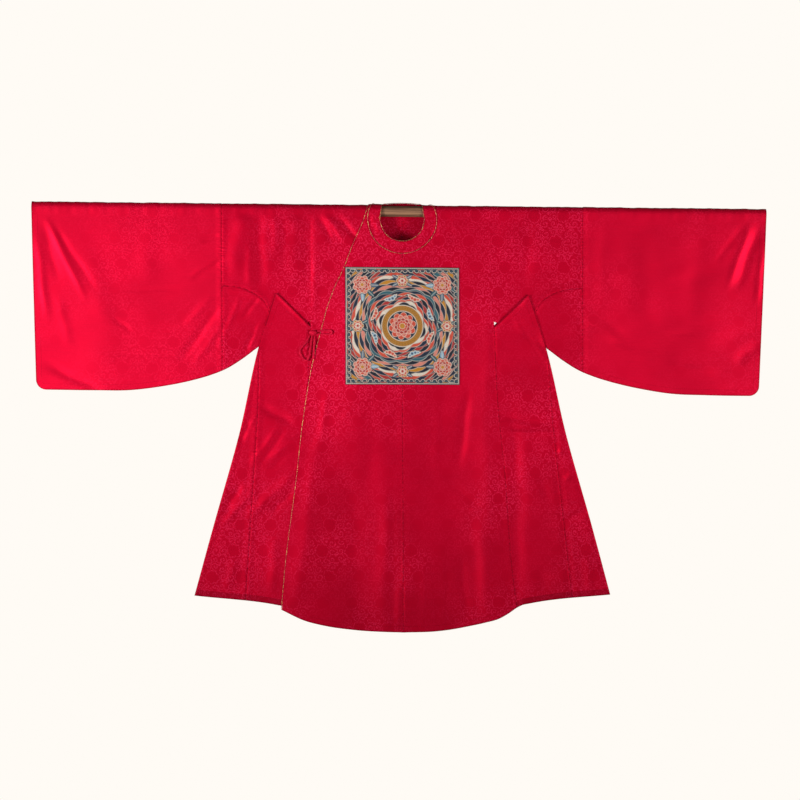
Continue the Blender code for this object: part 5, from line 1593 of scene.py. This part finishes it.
class RobeStudio(bpy.types.PropertyGroup):
    """Camera and light."""

    backdrop: bpy.props.StringProperty(name="Backdrop", description="Paper colour", default="#FFFBF5")
    aim: bpy.props.FloatVectorProperty(
        name="Aim",
        description="Middle of the view",
        default=(0.0, 0.0, -0.5844),
        subtype="XYZ",
        unit="LENGTH",
    )
    distance: bpy.props.FloatProperty(
        name="Camera distance", description="From the rod to the camera", default=9.0, unit="LENGTH"
    )
    view_width: bpy.props.FloatProperty(
        name="View width", description="Width of the view at the rod", default=2.48, unit="LENGTH"
    )
    roll: bpy.props.FloatProperty(
        name="Roll",
        description="Turn of the camera about its view",
        default=math.radians(0.6),
        subtype="ANGLE",
    )
    floor_radius: bpy.props.FloatProperty(
        name="Floor radius", description="Radius of the floor's disc", default=1.2, unit="LENGTH"
    )
    floor_depth: bpy.props.FloatProperty(
        name="Floor depth", description="How far the floor lies under the rod", default=2.05, unit="LENGTH"
    )
    ambient: bpy.props.FloatProperty(name="Ambient", description="Light from all round", default=0.25)
    key: bpy.props.FloatProperty(
        name="Key light", description="Light from the left, aimed at the sleeve", default=13.2, unit="POWER"
    )
    fill: bpy.props.FloatProperty(
        name="Fill light", description="Light from the right, aimed at the sleeve", default=9.4, unit="POWER"
    )
    back: bpy.props.FloatProperty(
        name="Back light", description="Soft light behind the robe", default=6.0, unit="POWER"
    )


def add_light(name, energy, size, spread, location, aim):
    """A square soft light of this size, its beam this many degrees wide, aimed at a point."""
    data = bpy.data.lights.new(name, "AREA")
    data.shape, data.size, data.energy = "SQUARE", size, energy
    data.spread = math.radians(spread)
    made = bpy.data.objects.new(name, data)
    made.location = location
    made.rotation_euler = (made.location - Vector(aim)).to_track_quat("Z", "Y").to_euler()
    bpy.context.scene.collection.objects.link(made)


class RobeStageOperator(bpy.types.Operator):
    """Make the camera, the soft lights, the pale surroundings and the floor."""

    bl_idname = "robe.stage"
    bl_label = "Camera, light and floor"

    def execute(self, context):
        studio = context.scene.robe_studio
        data = bpy.data.cameras.new("camera_front")
        data.sensor_width = 36.0
        data.lens = 36.0 * studio.distance / studio.view_width
        camera = bpy.data.objects.new("camera_front", data)
        x, y, z = studio.aim
        camera.location = (x, y - studio.distance, z)
        camera.rotation_euler = (math.pi / 2, -studio.roll, 0.0)
        context.scene.collection.objects.link(camera)
        context.scene.camera = camera
        add_light("light_key", studio.key, 1.4, 44.0, (-3.2, -2.0, -0.80), (-0.96, 0.0, -0.34))
        add_light("light_fill", studio.fill, 1.6, 44.0, (3.3, -2.1, -0.85), (0.95, 0.0, -0.38))
        add_light("light_back", studio.back, 3.0, 150.0, (-1.0, 4.4, -0.9), (0.0, 0.0, -0.6))
        colour = hex_colour(studio.backdrop)
        world = bpy.data.worlds.new("pale_surroundings")
        context.scene.world = world
        world.use_nodes = True
        tree = world.node_tree
        tree.nodes.clear()
        ray = add(tree, "ShaderNodeLightPath", (), "Is Camera Ray")
        # the room gives less light from above than from the front
        towards = add(tree, "ShaderNodeSeparateXYZ", (add(tree, "ShaderNodeTexCoord", (), "Generated"),)).node
        around = remap(tree, towards.outputs["Z"], 0.0, 0.75, studio.ambient, 0.12 * studio.ambient)
        strength = calc(tree, "MAXIMUM", ray, around)
        shader = add(tree, "ShaderNodeBackground", {"Color": colour, "Strength": strength})
        add(tree, "ShaderNodeOutputWorld", (shader,))
        self.add_floor(context, colour)
        context.scene.view_settings.view_transform = "Standard"
        return {"FINISHED"}

    def add_floor(self, context, colour):
        """A plain pale disc under the robe, its edge a circle of even steps."""
        studio = context.scene.robe_studio
        turns = np.linspace(0.0, 2 * math.pi, 97)[:-1]
        disc = np.stack([np.cos(turns), np.sin(turns), 0.0 * turns], axis=-1) * studio.floor_radius
        mesh = bpy.data.meshes.new("floor")
        mesh.from_pydata((disc - (0.0, 0.0, studio.floor_depth)).tolist(), [], [list(range(len(turns)))])
        # matt paper, a little bright by itself as the photo's plain ground is
        made, tree = new_material("matt_paper_floor")
        paper = {"Base Color": colour, "Roughness": 0.9, "Emission Color": colour, "Emission Strength": 0.35}
        end_material(tree, paper)
        mesh.materials.append(made)
        floor = bpy.data.objects.new("floor", mesh)
        context.scene.collection.objects.link(floor)


class RobeTieOperator(bpy.types.Operator):
    """Make the ribbon tie: strap, hanging loop, tail and knot."""

    bl_idname = "robe.tie"
    bl_label = "Ribbon tie"

    def execute(self, context):
        for name, table, node, far_end in (
            ("ribbon_strap", STRAP, "tie_strap", "knot"),
            ("ribbon_loop", LOOP, "tie_loop", "knot"),
            ("ribbon_tail", TAIL, "tie_tail", "bare"),
        ):
            table = np.array(table)
            points, faces, attributes, line = ribbon_parts(table[:, :2], table[:, 2], table[:, 3])
            made = add_piece(name, points, faces, "silk_ribbon_tape", [node], "ribbon_silk", attributes)
        self.add_knot()
        return {"FINISHED"}

    def add_knot(self):
        """An ellipsoid whose radius swells and sinks with the wraps of the ribbon round it."""
        rows, around = 25, 32
        tilt = np.linspace(0.0, math.pi, rows)[1:-1, None]
        turn = np.linspace(0.0, 2 * math.pi, around + 1)[None, :-1]
        wraps = np.abs(np.cos(2.5 * tilt + 0.8 * np.sin(turn)))
        swell = 0.90 + 0.10 * wraps - 0.05 * np.sin(3 * turn + 2 * tilt)
        half = np.array(KNOT_HALF)
        parts = (np.cos(tilt) + 0.0 * turn, np.sin(tilt) * np.cos(turn), np.sin(tilt) * np.sin(turn))
        offset = np.stack([part * size for part, size in zip(parts, half)], axis=-1) * swell[..., None]
        centre = place(KNOT_CENTRE[0], ROD_ARC + KNOT_CENTRE[1], KNOT_LIFT)
        points = (centre + offset).reshape(-1, 3)
        uv = np.stack(np.broadcast_arrays(tilt * 0.008, turn / (2 * math.pi) - 0.5), axis=-1).reshape(-1, 2)
        points, faces, flat = tube(points, uv * (1.0, 0.5), rows - 2, around)
        add_piece("ribbon_knot", points, faces, "silk_ribbon_tape", ["tie_knot"], "ribbon_silk", flat)


class RobeRodOperator(bpy.types.Operator):
    """Make the wooden rod: a round bar with eased ends, very slightly out of true."""

    bl_idname = "robe.rod"
    bl_label = "Hanging rod"

    def execute(self, context):
        low, high = -CUFF_X["right"] + ROD_INSET, CUFF_X["left"] - ROD_INSET
        ease = ROD_END * (1.0 - np.cos(np.linspace(0.0, math.pi / 2, 6)))
        x = np.concatenate([low + ease, np.linspace(low + 0.02, high - 0.02, 120), (high - ease)[::-1]])
        end = np.minimum(x - low, high - x)
        radius = ROD_RADIUS - ROD_SLIM - np.maximum(0.0, ROD_END - end) ** 2 / (2 * ROD_END)
        turns = np.linspace(0.0, 2 * math.pi, 57)[None, :-1]
        uneven = 1 + np.sin(2 * turns + 3.0 * x[:, None])
        out = radius[:, None] * (1.0 - ROD_OUT_OF_ROUND * uneven)
        points = np.stack([x[:, None] + 0.0 * turns, out * np.sin(turns), out * np.cos(turns)], axis=-1)
        points = points.reshape(-1, 3)
        uv = np.stack(np.broadcast_arrays(x[:, None], turns), axis=-1).reshape(-1, 2)
        points, faces, flat = tube(points, uv, len(x), turns.size)
        add_piece("rod_wooden", points, faces, "softwood_planed", ["rod"], "rod_wood", flat)
        return {"FINISHED"}


class RobeBodyOperator(bpy.types.Operator):
    """Sew the two body panels, each one length over the shoulder from hem to hem."""

    bl_idname = "robe.body"
    bl_label = "Body panels"

    def execute(self, context):
        for side in SIDES:

            def lift(x, s):
                raised = outer_lift(x, drop_of(s)) if side == "left" else 0.0
                return np.where(s > ROD_ARC, raised, 0.0)

            sew(f"cloth_{side}_body", body_patches(side), lift, "silk_damask_body", [f"{side}_body_panel"])
        return {"FINISHED"}


class RobeOverlapOperator(bpy.types.Operator):
    """Sew the outer front on the wearer's right."""

    bl_idname = "robe.overlap"
    bl_label = "Front overlap"

    def execute(self, context):
        sew(
            "cloth_overlap",
            [overlap_patch()],
            lambda x, s: np.full_like(x, LAYER),
            "silk_damask_body",
            ["front_overlap"],
        )
        return {"FINISHED"}


class RobeSleevesOperator(bpy.types.Operator):
    """Sew the two wide sleeves."""

    bl_idname = "robe.sleeves"
    bl_label = "Sleeves"

    def execute(self, context):
        for side in SIDES:
            node = f"{side}_sleeve"
            sew(f"cloth_{node}", [sleeve_patch(side)], base_layer, "silk_damask_sleeve", [node])
        return {"FINISHED"}


class RobeGussetsOperator(bpy.types.Operator):
    """Sew the four curved underarm pieces."""

    bl_idname = "robe.gussets"
    bl_label = "Underarm gussets"

    def execute(self, context):
        for side in SIDES:
            for surface in SURFACES:
                patch = gusset_patch(side, surface)
                node = f"{side}_{surface}_gusset"
                sew(f"cloth_{node}", [patch], base_layer, "silk_damask_body", [node])
        return {"FINISHED"}


class RobeWingsOperator(bpy.types.Operator):
    """Sew the flared side wings: a panel and a gore in front and behind on each side."""

    bl_idname = "robe.wings"
    bl_label = "Side wings"

    def execute(self, context):
        for side in SIDES:
            for surface in SURFACES:
                for part, patch_from in (("panel", panel_patch), ("gore", gore_patch)):
                    node = f"{side}_{surface}_side_{part}"
                    sew(f"cloth_{node}", [patch_from(side, surface)], wing_lift, "silk_damask_body", [node])
        return {"FINISHED"}


class RobeCollarOperator(bpy.types.Operator):
    """Make the round collar band and its two gilt pipings."""

    bl_idname = "robe.collar"
    bl_label = "Collar and its pipings"

    def execute(self, context):
        base, outward, raised, visible = collar_band()
        rows, across = 5 * (len(base) - 1) + 1, 15
        seam = base[:, 0] + outward[:, 0] * (raised + WALL + SEAM_GAP + PIPING_RADIUS)[:, None]
        edge = base[:, -1] + outward[:, -1] * (raised + WALL)[:, None]
        towards = unit(np.cross(outward[:, -1], np.gradient(edge, axis=0)))
        if np.dot(towards[0], base[0, -1] - base[0, 0]) < 0:
            towards = -towards
        edge = edge + towards * (SEAM_GAP + PIPING_RADIUS)
        cloth = context.scene.robe_cloth
        for name, line, out, node in (
            ("cord_collar_seam", seam, outward[:, 0], "collar_piping_outer"),
            ("cord_collar_edge", edge, outward[:, -1], "collar_piping_inner"),
        ):
            line, out = refine(line[:visible], PIPING_POINTS), refine(out[:visible], PIPING_POINTS)
            parts = cord_along(line, unit(out), PIPING_RADIUS * cloth.piping_share, cloth.piping_twist)
            add_cord(name, parts, node)
        inner = refine(refine(base + outward * raised[:, None, None], rows), across, 1)
        out = unit(refine(refine(outward, rows), across, 1))
        share = np.linspace(0.0, 1.0, across)[None, :]
        travelled = lengths_along(inner[:, across // 2])
        # small gathers run across the band where it bends round the neck
        gathers, drift, fade = (travelled * wave for wave in GATHER_WAVES)
        wave = np.sin(gathers + 2.0 * np.sin(drift)) * (0.5 + 0.5 * np.sin(fade + 1.0))
        puff = (BAND_PUFF + GATHER_HEIGHT * wave[:, None]) * np.sin(math.pi * share)
        width = float(np.linalg.norm(inner[:, 0] - inner[:, -1], axis=1).mean())
        outer = inner + out * (WALL + puff)[..., None]
        inner = inner + out * np.minimum(puff, 0.0)[..., None]
        faces = grid_faces(np.arange(rows * across).reshape(rows, across))
        points, faces = wall(outer.reshape(-1, 3), inner.reshape(-1, 3), faces)
        flat = np.stack(np.broadcast_arrays(travelled[:, None], share * width), axis=-1).reshape(-1, 2)
        far = np.minimum(share, 1.0 - share) * width + 0.0 * travelled[:, None]
        none = np.zeros(len(flat))
        values = {"flat": flat, "seam": far.ravel(), "hem": none + FAR, "band": none}
        values = {key: np.concatenate([value, value]) for key, value in values.items()}
        faces = faces.tolist()
        made = add_piece(
            "cloth_collar", points, faces, "silk_damask_body", ["collar"], "silk_damask", values
        )
        return {"FINISHED"}


def add_cord(name, parts, node):
    """A gilt piping from a tube's parts."""
    points, faces, flat = parts
    add_piece(name, points, faces, "gilt_thread_cord", [node], "gold_piping", flat)


class RobePipingOperator(bpy.types.Operator):
    """Lay the gilt piping along the overlap's slanting edge."""

    bl_idname = "robe.piping"
    bl_label = "Overlap piping"

    def execute(self, context):
        above = np.linspace(0.0, ROD_ARC + ARMPIT_DROP, 160)
        below = ROD_ARC + np.linspace(ARMPIT_DROP + 0.002, OVERLAP_HEM[-1][1], 380)
        s = np.concatenate([above, below])
        edge = resample(np.stack([-read(OVERLAP_EDGE, s), s], axis=-1), PIPING_RADIUS)
        tangent = unit(np.gradient(edge, axis=0))
        beside = edge + np.stack([-tangent[:, 1], tangent[:, 0]], axis=-1) * (SEAM_GAP + PIPING_RADIUS)
        line = place(beside[:, 0], beside[:, 1], LAYER - WALL / 2)
        out = unit(place(beside[:, 0], beside[:, 1], LAYER + WALL) - line)
        cloth = context.scene.robe_cloth
        parts = cord_along(line, out, PIPING_RADIUS * cloth.piping_share, cloth.piping_twist)
        add_cord("cord_overlap", parts, "overlap_piping")
        return {"FINISHED"}


class RobeBadgeOperator(bpy.types.Operator):
    """Make the square badge with its embroidery and braid."""

    bl_idname = "robe.badge"
    bl_label = "Chest badge"

    def execute(self, context):
        points, faces, attributes = badge_mesh()
        finish = ("silk_floss_embroidery", ["badge"], "badge_embroidery")
        made = add_piece("embroidered_badge", points, faces, *finish, attributes)
        return {"FINISHED"}


class RobePanel(bpy.types.Panel):
    """Lists the steps and the settings."""

    bl_idname = "VIEW3D_PT_robe"
    bl_label = "Hanging silk robe"
    bl_space_type = "VIEW_3D"
    bl_region_type = "UI"
    bl_category = "Robe"

    def draw(self, context):
        for settings in (context.scene.robe_cloth, context.scene.robe_colours, context.scene.robe_studio):
            for key in settings.__annotations__:
                self.layout.prop(settings, key)
        for operator in OPERATORS:
            self.layout.operator(operator.bl_idname)


OPERATORS = (
    RobeStageOperator,
    RobeTieOperator,
    RobeRodOperator,
    RobeBodyOperator,
    RobeOverlapOperator,
    RobeSleevesOperator,
    RobeGussetsOperator,
    RobeWingsOperator,
    RobeCollarOperator,
    RobePipingOperator,
    RobeBadgeOperator,
)
SETTINGS = {"robe_cloth": RobeCloth, "robe_colours": RobeColours, "robe_studio": RobeStudio}


def base_layer(x, s):
    """No lift: the piece is the base layer."""
    return np.zeros_like(x)


def register():
    for kind in (*SETTINGS.values(), *OPERATORS, RobePanel):
        bpy.utils.register_class(kind)
    for name, kind in SETTINGS.items():
        setattr(bpy.types.Scene, name, bpy.props.PointerProperty(type=kind))


def unregister():
    for name in SETTINGS:
        delattr(bpy.types.Scene, name)
    for kind in (RobePanel, *reversed(OPERATORS), *reversed(SETTINGS.values())):
        bpy.utils.unregister_class(kind)


def main():
    """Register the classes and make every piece."""
    register()
    for operator in OPERATORS:
        group, name = operator.bl_idname.split(".")
        if "FINISHED" not in getattr(getattr(bpy.ops, group), name)():
            raise RuntimeError(f"{operator.bl_label} was not finished")


if __name__ == "__main__":
    main()
